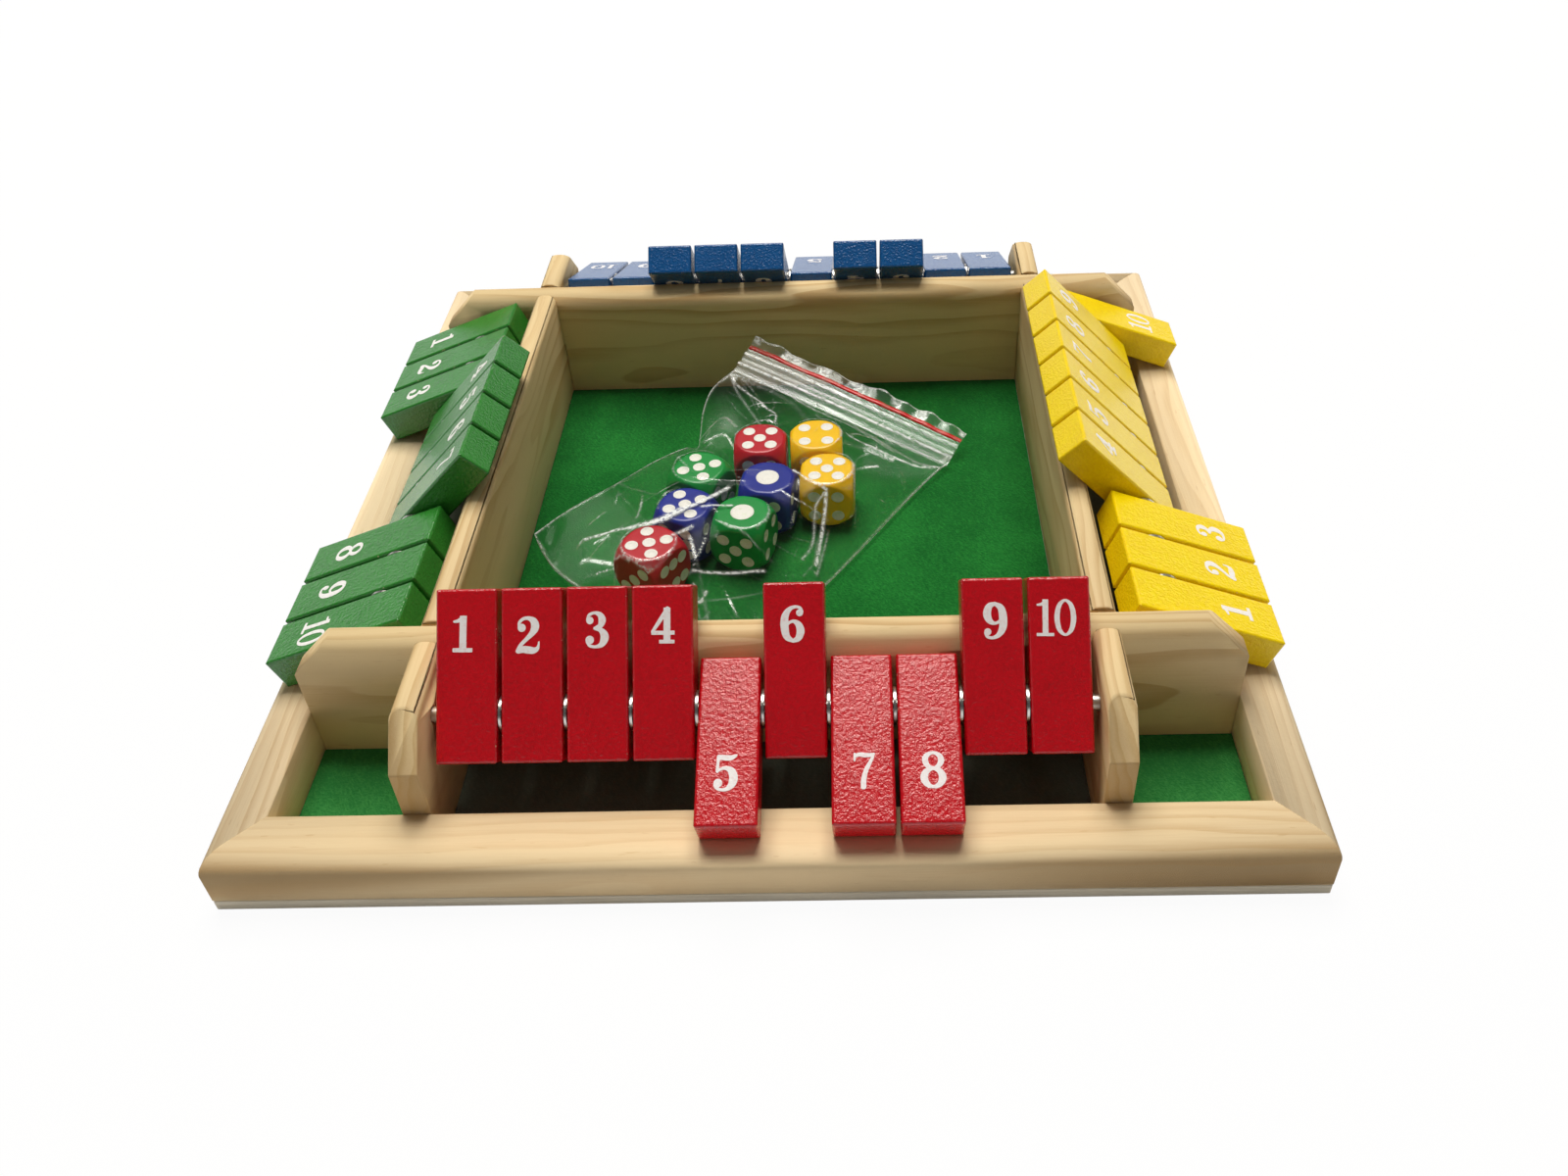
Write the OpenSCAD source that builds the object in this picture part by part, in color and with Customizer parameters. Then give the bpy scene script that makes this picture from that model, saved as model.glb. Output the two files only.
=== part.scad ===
// Four-player shut the box game in pine, with a felt dice tray, forty numbered tiles
// that fold on four steel rods, and eight dice in a clear press-to-close bag.
// Origin at the middle of the underside, X to the right, Y away from the red player, Z up.

/* [Number tiles] */
// Width of one tile, along its rod
tile_w = 14; // [11:0.1:16]
// Thickness of one tile
tile_t = 9.4; // [8.4:0.1:10.4]
// Length of a tile from the rod's centre to its free tip
tile_tip = 28.7; // [26:0.1:30.5]
// Length of a tile from the rod's centre to its heel
tile_heel = 11; // [8:0.1:13]
// Rounding of every edge of a tile
tile_edge = 0.7; // [0.5:0.1:1.4]
// Free width between two neighbouring tiles
tile_gap = 1; // [0.9:0.05:1.8]
// Free width between a row's last tile and the tray wall beside it
end_gap = 1.9; // [1.8:0.05:3]

/* [Rods and washers] */
// Diameter of the steel rod that carries a row
rod_d = 4; // [3:0.1:5]
// Distance of a rod from the outer face of the tray wall beside it
rod_out = 14.4; // [13.6:0.1:16]
// Height of the rod's centre above the table
rod_h = 32.4; // [30.8:0.1:33.2]
// Outer diameter of a spacer washer
washer_d = 9; // [7:0.1:9.2]
// Thickness of a spacer washer
washer_t = 0.6; // [0.3:0.05:0.7]

/* [Tray walls] */
// Thickness of the four crossing tray walls
wall_t = 6.7; // [6:0.1:9]
// Height of the walls' tops above the table
wall_top = 42; // [41:0.1:44]
// Rounding of the walls' two top edges
wall_round = 2.8; // [1:0.1:3]
// Run of the slanted clip at each end of a wall
clip_run = 10.5; // [4:0.5:12]
// Drop of the slanted clip at each end of a wall
clip_drop = 11; // [4:0.5:14]

/* [Frame and base] */
// Width of a frame rail
rail_w = 12.7; // [11:0.1:18]
// Height of a frame rail
rail_h = 14.5; // [13:0.1:16]
// Rounding of a rail's outer top edge
rail_round = 5.4; // [2:0.1:6]
// Clear width between a tray wall and the rail beside it
trough_w = 31.2; // [30:0.1:34]
// Thickness of the base board
base_t = 3.2; // [2.5:0.1:4.5]
// Thickness of the felt and of the trough linings
felt_t = 1; // [0.5:0.1:2]

/* [Dice and bag] */
// Width of a die
die_w = 16; // [15:0.5:16.5]
// Rounding of a die's edges
die_edge = 0.8; // [0.5:0.1:2]
// Diameter of the ball that rounds off a die's corners, for each millimetre of its width
die_ball = 1.36; // [1.36:0.01:1.5]
// Diameter of a pip
pip_d = 3.6; // [2:0.1:3.6]
// Distance from a face's middle to a corner pip's column, for each millimetre of the die's width
pip_place = 0.216; // [0.21:0.002:0.22]
// How much further apart the rows of the six stand, because three pips need more room than two
six_stretch = 1.12; // [1.1:0.01:1.14]
// Diameter of the large pip on the one face
one_pip_d = 6.8; // [3:0.1:7]
// Depth of a pip
pip_depth = 0.5; // [0.3:0.05:0.8]
// Thickness of the bag's film
film_t = 0.3; // [0.2:0.05:0.5]
// Width of the closing strip, across the bag's mouth
strip_w = 14; // [8:0.5:14.5]
// Thickness of the flat lip of the closing strip
lip_t = 0.5; // [0.3:0.05:0.8]
// Thickness of the ribbed closure bar on the strip
bar_t = 1.6; // [1:0.1:2]
// Width of the ribbed closure bar on the strip
bar_w = 6; // [3:0.5:8]

/* [Fits] */
// Radial clearance of a tile's bore round its rod
bore_clear = 0.1; // [0.05:0.01:0.2]
// Radial clearance of a washer's hole round its rod
washer_clear = 0.15; // [0.05:0.05:0.3]
// Radial clearance of the rod's ends in the walls' blind holes
socket_clear = 0.05; // [0.02:0.01:0.1]
// Free length at each end of a rod in its blind hole
rod_end_clear = 0.3; // [0.1:0.1:1]
// Depth of the blind holes that hold the rods' ends
socket_depth = 4; // [2:0.1:5]
// Gap between a resting tile and the wall or rail that stops it
seat_gap = 0.2; // [0.1:0.05:0.3]
// Gap of a glued joint between two boards
glue_gap = 0.05; // [0.02:0.01:0.15]
// Gap round the felt
felt_gap = 0.2; // [0.1:0.1:0.6]
// Gap between the bag's film and the felt that it lies on
bag_gap = 0.3; // [0.2:0.05:0.5]
// Gap between the dice and the film
die_gap = 0.25; // [0.15:0.05:0.5]

/* [Hidden] */
$fn = 64;
cut = 1; // how far a cutting solid runs past the face that it cuts

// Each row is a player's colour name, its paint, and the tiles that lie folded down.
ROWS = [
    ["red", "firebrick", [5, 7, 8]],
    ["yellow", "gold", [1, 2, 3, 10]],
    ["blue", "royalblue", [1, 2, 5, 9, 10]],
    ["green", "forestgreen", [1, 2, 3, 8, 9, 10]],
];
SIDES = ["front", "right", "back", "left"];
tile_count = 10;

function tile_name(row, i) = str(row[0], "_tile_", i);

tile_pitch = tile_w + tile_gap;
tray_in = tile_count * tile_w + (tile_count - 1) * tile_gap + 2 * end_gap;
tray_half = tray_in / 2;
wall_mid = tray_half + wall_t / 2;
wall_face = tray_half + wall_t;
rail_in = wall_face + trough_w;
frame_half = rail_in + rail_w;
wall_end = rail_in - glue_gap;
rod_off = wall_face + rod_out;
rail_top = base_t + rail_h;
felt_top = base_t + felt_t;
lap_h = (base_t + wall_top) / 2;

// A standing tile leans until its face meets the outer rounding of the wall's top.
lean_a = rod_out + wall_round;
lean_b = wall_top - wall_round - rod_h;
lean = acos((wall_round + tile_t / 2 + seat_gap) / norm([lean_a, lean_b])) - atan2(lean_b, lean_a);

// A folded tile turns until the rounded lower edge of its tip meets the rail's top.
drop_a = tile_tip - tile_edge;
drop_b = tile_t / 2 - tile_edge;
droop = asin((rod_h - tile_edge - rail_top - seat_gap) / norm([drop_a, drop_b])) - atan2(drop_b, drop_a);

// Each die is its row's index, its place in die widths, its turn, and its top, front and right values.
DICE = [
    [0, [-0.482, 1.421], 0, [5, 4, 1]],
    [0, [-2.268, -1.568], -32, [5, 3, 6]],
    [1, [0.588, 1.506], 2, [4, 5, 6]],
    [1, [0.811, 0.42], -3, [5, 4, 1]],
    [2, [-0.281, 0.196], -10, [1, 5, 4]],
    [2, [-1.737, -0.53], -21, [5, 6, 4]],
    [3, [-1.573, 0.553], -27, [5, 1, 3]],
    [3, [-0.688, -0.796], -15, [1, 5, 4]],
];
die_low = felt_top + bag_gap + film_t + die_gap;

// The bag's far corners keep these distances from the tray's walls.
zip_left = [-18, tray_half - 15.2, 21];
zip_right = [tray_half - 26.2, 26, 6.5];
seam_left = [4.2 - tray_half, -12, 14];
seam_right = [-14, 13.2 - tray_half, felt_top + 1.8];
zip_roll = 20;
hem_t = 1;

function span(a, b) = norm(b - a);
function heading(a, b) = atan2(b[1] - a[1], b[0] - a[0]);
function fall(a, b) = asin((a[2] - b[2]) / span(a, b));

// A rectangle with rounded corners, centred.
module rounded_plate(w, h, r) {
    square([w - 2 * r, h], center = true);
    square([w, h - 2 * r], center = true);
    for (x = [-1, 1], y = [-1, 1])
        translate([x * (w / 2 - r), y * (h / 2 - r)]) circle(r);
}

// A block whose twelve edges are rounded, centred.
module rounded_block(size, r) {
    intersection() {
        linear_extrude(size[2], center = true) rounded_plate(size[0], size[1], r);
        rotate([90, 0, 0]) linear_extrude(size[1], center = true) rounded_plate(size[0], size[2], r);
        rotate([0, 90, 0]) linear_extrude(size[0], center = true) rounded_plate(size[2], size[1], r);
    }
}

// Turns what is drawn for the front side to side s, counted anticlockwise from above.
module on_side(s) {
    rotate([0, 0, 90 * s]) children();
}

module base_board() {
    color("burlywood") linear_extrude(base_t) square(2 * frame_half, center = true);
}

// A rail's section, with its inner face at zero and its outer face at rail_w.
module rail_section() {
    square([rail_w - rail_round, rail_h]);
    square([rail_w, rail_h - rail_round]);
    translate([rail_w - rail_round, rail_h - rail_round]) circle(rail_round);
}

module rail(s) {
    inner = rail_in + glue_gap;
    color("wheat") on_side(s) intersection() {
        translate([frame_half, -rail_in, base_t])
            rotate([90, 0, -90]) linear_extrude(2 * frame_half) rail_section();
        linear_extrude(rail_top + cut)
            polygon([[glue_gap - frame_half, -frame_half], [frame_half - glue_gap, -frame_half],
                [inner - 2 * glue_gap, -rail_in], [2 * glue_gap - inner, -rail_in]]);
    }
}

// A wall's section, standing on the base board.
module wall_section() {
    translate([-wall_t / 2, base_t]) square([wall_t, wall_top - base_t - wall_round]);
    translate([wall_round - wall_t / 2, base_t]) square([wall_t - 2 * wall_round, wall_top - base_t]);
    for (x = [-1, 1])
        translate([x * (wall_t / 2 - wall_round), wall_top - wall_round]) circle(wall_round);
}

// Front and back walls run whole along their tops and straddle the side walls, which are notched there.
module wall(s) {
    over = s % 2 == 0;
    notch_w = wall_t + 2 * glue_gap;
    color("tan") on_side(s) translate([0, -wall_mid, 0]) difference() {
        rotate([90, 0, 90]) linear_extrude(2 * wall_end, center = true) wall_section();
        for (x = [-1, 1]) {
            mirror([x < 0 ? 1 : 0, 0, 0]) wall_clip();
            translate([x * wall_mid, 0, over ? base_t : wall_top]) cube(
                [notch_w, wall_t + 2 * cut, 2 * (over ? lap_h - base_t : wall_top - lap_h + glue_gap)],
                center = true);
            translate([x * rod_off, wall_t / 2 - socket_depth, rod_h])
                rotate([-90, 0, 0]) cylinder(r = rod_d / 2 + socket_clear, h = socket_depth + cut);
        }
    }
}

// The corner that is sawn off the top of a wall's end.
module wall_clip() {
    rotate([90, 0, 0]) linear_extrude(wall_t + 2 * cut, center = true)
        polygon([[wall_end - clip_run, wall_top], [wall_end, wall_top - clip_drop],
            [wall_end + cut, wall_top - clip_drop], [wall_end + cut, wall_top + cut],
            [wall_end - clip_run, wall_top + cut]]);
}

module tray_felt() {
    color("green") translate([0, 0, base_t]) linear_extrude(felt_t)
        square(tray_in - 2 * felt_gap, center = true);
}

module corner_felts() {
    middle = (wall_face + rail_in) / 2;
    color("green") for (x = [-1, 1], y = [-1, 1])
        translate([x * middle, y * middle, base_t]) linear_extrude(felt_t)
            square(trough_w - 2 * felt_gap, center = true);
}

module trough_linings() {
    color("black") for (s = [0:3]) on_side(s)
        translate([0, -(wall_face + rail_in) / 2, base_t]) linear_extrude(felt_t)
            square([tray_in - 2 * felt_gap, trough_w - 2 * felt_gap], center = true);
}

module pivot_rods() {
    color("silver") for (s = [0:3]) on_side(s)
        translate([0, -rod_off, rod_h]) rotate([0, 90, 0])
            cylinder(d = rod_d, h = tray_in + 2 * (socket_depth - rod_end_clear), center = true);
}

module spacer_washers() {
    color("gainsboro") for (s = [0:3], i = [1:tile_count - 1]) on_side(s)
        translate([(i - tile_count / 2) * tile_pitch, -rod_off, rod_h]) rotate([0, 90, 0])
            difference() {
                cylinder(d = washer_d, h = washer_t, center = true);
                cylinder(r = rod_d / 2 + washer_clear, h = washer_t + 2 * cut, center = true);
            }
}

// A tile standing upright on its rod's centre, with the rod along X.
module tile_block() {
    difference() {
        translate([0, 0, (tile_tip - tile_heel) / 2])
            rounded_block([tile_w, tile_t, tile_tip + tile_heel], tile_edge);
        rotate([0, 90, 0]) cylinder(r = rod_d / 2 + bore_clear, h = tile_w + 2 * cut, center = true);
    }
}

module number_tile(s, i) {
    folded = len(search(i, ROWS[s][2])) > 0;
    color(ROWS[s][1]) on_side(s)
        translate([(i - (tile_count + 1) / 2) * tile_pitch, -rod_off, rod_h])
            rotate([folded ? 90 + droop : -lean, 0, 0]) tile_block();
}

// The pips of one value on a face that looks up, each a shallow ball-shaped hollow.
module pips(value) {
    x = die_w * pip_place;
    y = x * (value == 6 ? six_stretch : 1);
    spots = concat(
        value % 2 == 1 ? [[0, 0]] : [],
        value > 1 ? [[-1, -1], [1, 1]] : [],
        value > 3 ? [[-1, 1], [1, -1]] : [],
        value == 6 ? [[-1, 0], [1, 0]] : []
    );
    d = value == 1 ? one_pip_d : pip_d;
    ball = (d * d / 4 + pip_depth * pip_depth) / (2 * pip_depth);
    for (p = spots) translate([p[0] * x, p[1] * y, die_w / 2 + ball - pip_depth]) sphere(ball);
}

// A die with the given values on top, in front and to the right. Opposite faces add up to seven.
module die(values) {
    difference() {
        intersection() {
            rounded_block([die_w, die_w, die_w], die_edge);
            sphere(d = die_w * die_ball);
        }
        pips(values[0]);
        rotate([180, 0, 0]) pips(7 - values[0]);
        rotate([90, 0, 0]) pips(values[1]);
        rotate([-90, 0, 0]) pips(7 - values[1]);
        rotate([0, 90, 0]) pips(values[2]);
        rotate([0, -90, 0]) pips(7 - values[2]);
    }
}

module place_die(d) {
    translate([d[1][0] * die_w, d[1][1] * die_w, die_low + die_w / 2]) rotate([0, 0, d[2]]) children();
}

module dice(s) {
    color(ROWS[s][1]) for (d = DICE) if (d[0] == s) place_die(d) die(d[3]);
}

// Lays what is drawn along X, from zero, onto the line from a to b.
module along(a, b, roll) {
    translate(a) rotate([0, 0, heading(a, b)]) rotate([0, fall(a, b), 0]) rotate([roll, 0, 0]) children();
}

// The space round the dice, the mouth's edge and the bottom seam, drawn in by inset.
module pouch(inset) {
    room = die_w + 2 * (die_gap + film_t - inset);
    edge = hem_t - 2 * inset;
    hull() {
        for (d = DICE) place_die(d) cube(room, center = true);
        along(zip_left, zip_right, zip_roll)
            translate([inset, inset - hem_t, inset]) cube([span(zip_left, zip_right) - 2 * inset, edge, edge]);
        along(seam_left, seam_right, 0)
            translate([inset, inset, inset]) cube([span(seam_left, seam_right) - 2 * inset, edge, edge]);
    }
}

module bag_film() {
    color("azure", 0.4) difference() {
        pouch(0);
        pouch(film_t);
    }
}

// The closing strip: a ribbed bar along the mouth's edge and a flat lip beyond it.
module bag_zip() {
    color("tomato", 0.6) along(zip_left, zip_right, zip_roll) {
        length = span(zip_left, zip_right);
        cube([length, strip_w, lip_t]);
        cube([length, bar_w, bar_t]);
    }
}

base_board();
for (s = [0:3]) rail(s);
for (s = [0:3]) wall(s);
tray_felt();
corner_felts();
trough_linings();
pivot_rods();
spacer_washers();
for (s = [0:3], i = [1:tile_count])
    number_tile(s, i);
for (s = [0:3]) dice(s);
bag_film();
bag_zip();
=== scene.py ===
"""Dresses the four-player shut the box game in its pine, paint, felt, steel, dice and clear bag."""
import functools
import logging
import math
from dataclasses import dataclass, field
from enum import Enum
from typing import Any, Iterable, Sequence

import bmesh
import bpy
import numpy as np
from mathutils import Matrix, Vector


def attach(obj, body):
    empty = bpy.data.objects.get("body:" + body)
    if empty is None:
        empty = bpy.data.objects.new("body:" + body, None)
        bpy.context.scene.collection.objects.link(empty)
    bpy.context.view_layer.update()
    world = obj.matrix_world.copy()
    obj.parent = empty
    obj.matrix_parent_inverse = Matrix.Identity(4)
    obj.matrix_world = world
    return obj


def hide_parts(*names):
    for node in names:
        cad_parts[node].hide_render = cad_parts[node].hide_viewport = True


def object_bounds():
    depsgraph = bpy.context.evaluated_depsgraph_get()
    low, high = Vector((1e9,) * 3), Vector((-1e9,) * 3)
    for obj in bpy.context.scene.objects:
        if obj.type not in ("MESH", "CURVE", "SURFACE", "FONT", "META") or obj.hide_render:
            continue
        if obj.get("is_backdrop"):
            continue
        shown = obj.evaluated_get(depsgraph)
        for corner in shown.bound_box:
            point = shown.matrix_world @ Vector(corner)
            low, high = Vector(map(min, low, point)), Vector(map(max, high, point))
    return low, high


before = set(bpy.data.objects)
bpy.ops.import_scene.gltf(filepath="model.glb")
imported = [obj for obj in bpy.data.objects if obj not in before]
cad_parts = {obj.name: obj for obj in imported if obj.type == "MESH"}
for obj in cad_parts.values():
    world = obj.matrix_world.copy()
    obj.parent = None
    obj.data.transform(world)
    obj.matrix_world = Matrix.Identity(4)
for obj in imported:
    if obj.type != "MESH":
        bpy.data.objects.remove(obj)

LOG = logging.getLogger("shut_the_box")
MM = 0.001
PHOTO_W, PHOTO_H = 1600, 1200
WHITE = (1.0, 1.0, 1.0, 1.0)
LAMP_TINT = (1.0, 0.965, 0.90)
SPLINE_SAMPLES = 24
WELD_GAP = 0.001
FLAT_DEGREES = 0.5
SHARP_DEGREES = 35.0
MITRE_NORMAL = 0.707
MITRE_SLACK = 0.02


class Grain(Enum):
    """The way that a board's grain runs."""

    ALONG_X = 0.0
    ALONG_Y = -90.0


class Side(Enum):
    """A player's side of the frame, as its quarter turns anticlockwise from the front."""

    FRONT = 0
    RIGHT = 1
    BACK = 2
    LEFT = 3


def paint_rgb(red: int, green: int, blue: int) -> tuple[float, float, float, float]:
    """Turns a colour as a screen shows it, 0 to 255, into the linear one that a shader takes."""
    shown = np.array([red, green, blue]) / 255
    linear = np.where(shown <= 0.04045, shown / 12.92, ((shown + 0.055) / 1.055) ** 2.4)
    return (*linear.tolist(), 1.0)


class Signal:
    """A node's output, with Python's operators for the Math nodes that work on it."""

    def __init__(self, graph: "Graph", socket: bpy.types.NodeSocket | None) -> None:
        """Wraps one output socket of the graph."""
        self.graph = graph
        self.socket = socket

    def _math(self, operation: str, *terms: Any) -> "Signal":
        """Adds one Math node over the terms and wraps its output."""
        return self.graph.node("ShaderNodeMath", {"operation": operation}, dict(enumerate(terms)))

    def __add__(self, other: Any) -> "Signal":
        """The sum."""
        return self._math("ADD", self, other)

    __radd__ = __add__

    def __sub__(self, other: Any) -> "Signal":
        """The difference."""
        return self._math("SUBTRACT", self, other)

    def __rsub__(self, other: Any) -> "Signal":
        """The difference, with the signal on the right."""
        return self._math("SUBTRACT", other, self)

    def __mul__(self, other: Any) -> "Signal":
        """The product."""
        return self._math("MULTIPLY", self, other)

    __rmul__ = __mul__

    def __truediv__(self, other: Any) -> "Signal":
        """The quotient."""
        return self._math("DIVIDE", self, other)

    def __pow__(self, other: Any) -> "Signal":
        """The power."""
        return self._math("POWER", self, other)

    def __abs__(self) -> "Signal":
        """The size without the sign."""
        return self._math("ABSOLUTE", self)

    def larger(self, other: Any) -> "Signal":
        """The larger of this and the other."""
        return self._math("MAXIMUM", self, other)

    def fraction(self) -> "Signal":
        """What is left over a whole number."""
        return self._math("FRACT", self)

    def rise(self, low: float, high: float) -> "Signal":
        """Goes smoothly from 0 at low to 1 at high, or from 1 to 0 where low is above high."""
        ends = (low, high, 0.0, 1.0) if low < high else (high, low, 1.0, 0.0)
        names = ("From Min", "From Max", "To Min", "To Max")
        return self.graph.node(
            "ShaderNodeMapRange",
            {"interpolation_type": "SMOOTHSTEP"},
            {"Value": self, **dict(zip(names, ends))},
        )


class Graph:
    """A material's node tree, built by expressions."""

    def __init__(self, name: str) -> None:
        """Makes an empty material of that name."""
        self.material = bpy.data.materials.new(name)
        self.material.use_nodes = True
        self.tree = self.material.node_tree
        self.tree.nodes.clear()

    def node(
        self,
        kind: str,
        settings: dict[str, Any] | None = None,
        inputs: dict[Any, Any] | None = None,
        output: int | str = 0,
    ) -> Signal:
        """Adds any node.

        Args:
            kind: The node's type.
            settings: Its settings, set first. The key stops holds a ramp's places and colours.
            inputs: Values or signals by a socket's identifier, name or number.
            output: The output that is wrapped.

        Returns:
            The wrapped output.
        """
        node = self.tree.nodes.new(kind)
        for key, value in (settings or {}).items():
            if key == "stops":
                ramp = node.color_ramp.elements
                while len(ramp) < len(value):
                    ramp.new(0.5)
                for stop, (place, colour) in zip(ramp, value):
                    stop.position = place
                    stop.color = colour
            else:
                setattr(node, key, value)
        by_identifier = {s.identifier: s for s in node.inputs}
        for key, value in (inputs or {}).items():
            socket = by_identifier[key] if key in by_identifier else node.inputs[key]
            if isinstance(value, Signal):
                self.tree.links.new(value.socket, socket)
            else:
                socket.default_value = value
        if not node.outputs:
            return Signal(self, None)
        named = {s.identifier: s for s in node.outputs}
        return Signal(self, named[output] if output in named else node.outputs[output])

    def place(self, turn: float = 0.0, shift: Sequence[float] = (0, 0, 0)) -> Signal:
        """The point on the piece in millimetres, turned about Z by degrees and shifted."""
        point = self.node("ShaderNodeTexCoord", output="Object")
        return self.node(
            "ShaderNodeMapping",
            inputs={
                "Vector": point,
                "Scale": (1 / MM,) * 3,
                "Rotation": (0, 0, math.radians(turn)),
                "Location": tuple(shift),
            },
        )

    def stretch(self, point: Signal, scale: Sequence[float]) -> Signal:
        """The point with each coordinate scaled."""
        return self.node("ShaderNodeVectorMath", {"operation": "MULTIPLY"}, {0: point, 1: tuple(scale)})

    def dot(self, vector: Signal, direction: Sequence[float]) -> Signal:
        """How far a vector reaches in a direction."""
        return self.node(
            "ShaderNodeVectorMath",
            {"operation": "DOT_PRODUCT"},
            {0: vector, 1: tuple(direction)},
            output="Value",
        )

    def in_axes(self, point: Signal, axes: Sequence[Sequence[float]]) -> Signal:
        """The point's coordinates along three axes of a turned piece."""
        return self.node(
            "ShaderNodeCombineXYZ", inputs={k: self.dot(point, axis) for k, axis in enumerate(axes)}
        )

    def along(self, direction: Sequence[float]) -> Signal:
        """How squarely the surface faces a direction of the piece, from -1 to 1."""
        return self.dot(self.node("ShaderNodeTexCoord", output="Normal"), direction)

    def noise(self, point: Signal, scale: float, detail: float = 2.0, roughness: float = 0.5) -> Signal:
        """Smooth noise from 0 to 1, with so many bumps to a millimetre."""
        return self.node(
            "ShaderNodeTexNoise",
            inputs={"Vector": point, "Scale": scale, "Detail": detail, "Roughness": roughness},
        )

    def mix(self, share: Any, first: Any, second: Any, blend: str = "MIX") -> Signal:
        """A colour between two, by the share of the second."""
        return self.node(
            "ShaderNodeMix",
            {"data_type": "RGBA", "blend_type": blend},
            {"Factor_Float": share, "A_Color": first, "B_Color": second},
            output="Result_Color",
        )

    def bump(self, height: Signal, depth: float, strength: float = 1.0) -> Signal:
        """A normal that follows a height from 0 to 1, so many millimetres deep."""
        return self.node(
            "ShaderNodeBump", inputs={"Height": height, "Distance": depth * MM, "Strength": strength}
        )

    def surface(self, **sockets: Any) -> bpy.types.Material:
        """Ends the graph in one Principled shader.

        Args:
            sockets: Values or signals by socket, with underscores for spaces.

        Returns:
            The finished material.
        """
        shader = self.node(
            "ShaderNodeBsdfPrincipled",
            inputs={name.replace("_", " "): value for name, value in sockets.items()},
        )
        self.node("ShaderNodeOutputMaterial", inputs={"Surface": shader})
        return self.material


@dataclass(frozen=True)
class Finish:
    """What every finish has: a name, and a material made once."""

    name: str

    def make(self) -> bpy.types.Material:
        """Builds the material."""
        raise NotImplementedError


@functools.cache
def material_of(finish: Finish) -> bpy.types.Material:
    """The finish's material, made at its first use."""
    return finish.make()


@dataclass(frozen=True)
class Pine(Finish):
    """Sanded pine: growth rings about a pith beside the board, fibres along it, sawn end grain."""

    grain: Grain = Grain.ALONG_X
    pith: tuple[float, float] = (14.0, -34.0)
    shift: float = 0.0
    ring: float = 3.1
    streak: float = 0.55
    early: tuple = paint_rgb(236, 211, 168)
    late: tuple = paint_rgb(205, 166, 112)
    sawn: tuple = paint_rgb(196, 165, 118)
    sway: float = 16.0

    def make(self) -> bpy.types.Material:
        """Rings are the fraction of the distance to a wavy pith over the ring's width."""
        g = Graph(self.name)
        point = g.place(self.grain.value, (self.shift, *self.pith))
        wave = g.noise(g.stretch(point, (0.10, 0.55, 0.55)), 0.09, 2.0) - 0.5
        across = g.stretch(point, (0, 1, 1))
        radius = g.node("ShaderNodeVectorMath", {"operation": "LENGTH"}, {0: across}, output="Value")
        rings = ((radius + wave * self.sway) / self.ring).fraction()
        late = rings.rise(0.35, 0.92) * rings.rise(1.0, 0.94)
        patch = g.noise(g.stretch(point, (0.12, 0.5, 0.5)), 0.06, 2.0)
        fibre = g.noise(g.stretch(point, (0.03, 1, 1)), 2.2, 3.0, 0.65)
        fleck = g.noise(g.stretch(point, (0.16, 1, 1)), 1.3, 1.0).rise(0.70, 0.80)
        ends = abs(g.along(self.axis())).rise(0.55, 0.9)
        share = late * patch.rise(0.2, 0.8) * self.streak + (fibre - 0.5) * 0.5 + (patch - 0.5) * 0.35
        face = g.mix(share, self.early, self.late)
        face = g.mix(fleck * 0.35, face, self.late)
        cells = g.noise(point, 3.4, 2.0, 0.7)
        tone = g.mix(late * 0.5 + cells.rise(0.35, 0.7) * 0.5, self.sawn, self.late)
        colour = g.mix(ends * 0.8, face, tone)
        height = fibre * 0.5 + late * 0.3 + g.noise(point, 1.1, 3.0) * 0.4 + ends * cells * 1.6
        return g.surface(
            Base_Color=colour,
            Roughness=0.56 + fibre * 0.16 + ends * 0.14,
            Normal=g.bump(height, 0.10, 0.6),
            Specular_IOR_Level=0.35,
        )

    def axis(self) -> tuple[float, float, float]:
        """The grain's direction on the piece."""
        return (1.0, 0.0, 0.0) if self.grain is Grain.ALONG_X else (0.0, 1.0, 0.0)


@dataclass(frozen=True)
class Ply(Finish):
    """The base board's pale greyed ply, with layered edges."""

    face: tuple = paint_rgb(238, 230, 212)
    seam: tuple = paint_rgb(206, 194, 168)

    def make(self) -> bpy.types.Material:
        """The layers are waves in height, and show only on the edges."""
        g = Graph(self.name)
        point = g.place()
        layers = g.noise(g.stretch(point, (0.02, 0.02, 1)), 1.6, 1.0)
        fibre = g.noise(g.stretch(point, (0.08, 1, 0.3)), 0.8, 3.0, 0.6)
        blotch = g.noise(point, 0.05, 2.0)
        share = layers.rise(0.45, 0.62) * 0.4 + (fibre - 0.4) * 0.5 + (blotch - 0.5) * 0.4
        return g.surface(
            Base_Color=g.mix(share, self.face, self.seam),
            Roughness=0.66 + fibre * 0.14,
            Normal=g.bump(fibre + layers * 0.6, 0.08, 0.5),
        )


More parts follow.
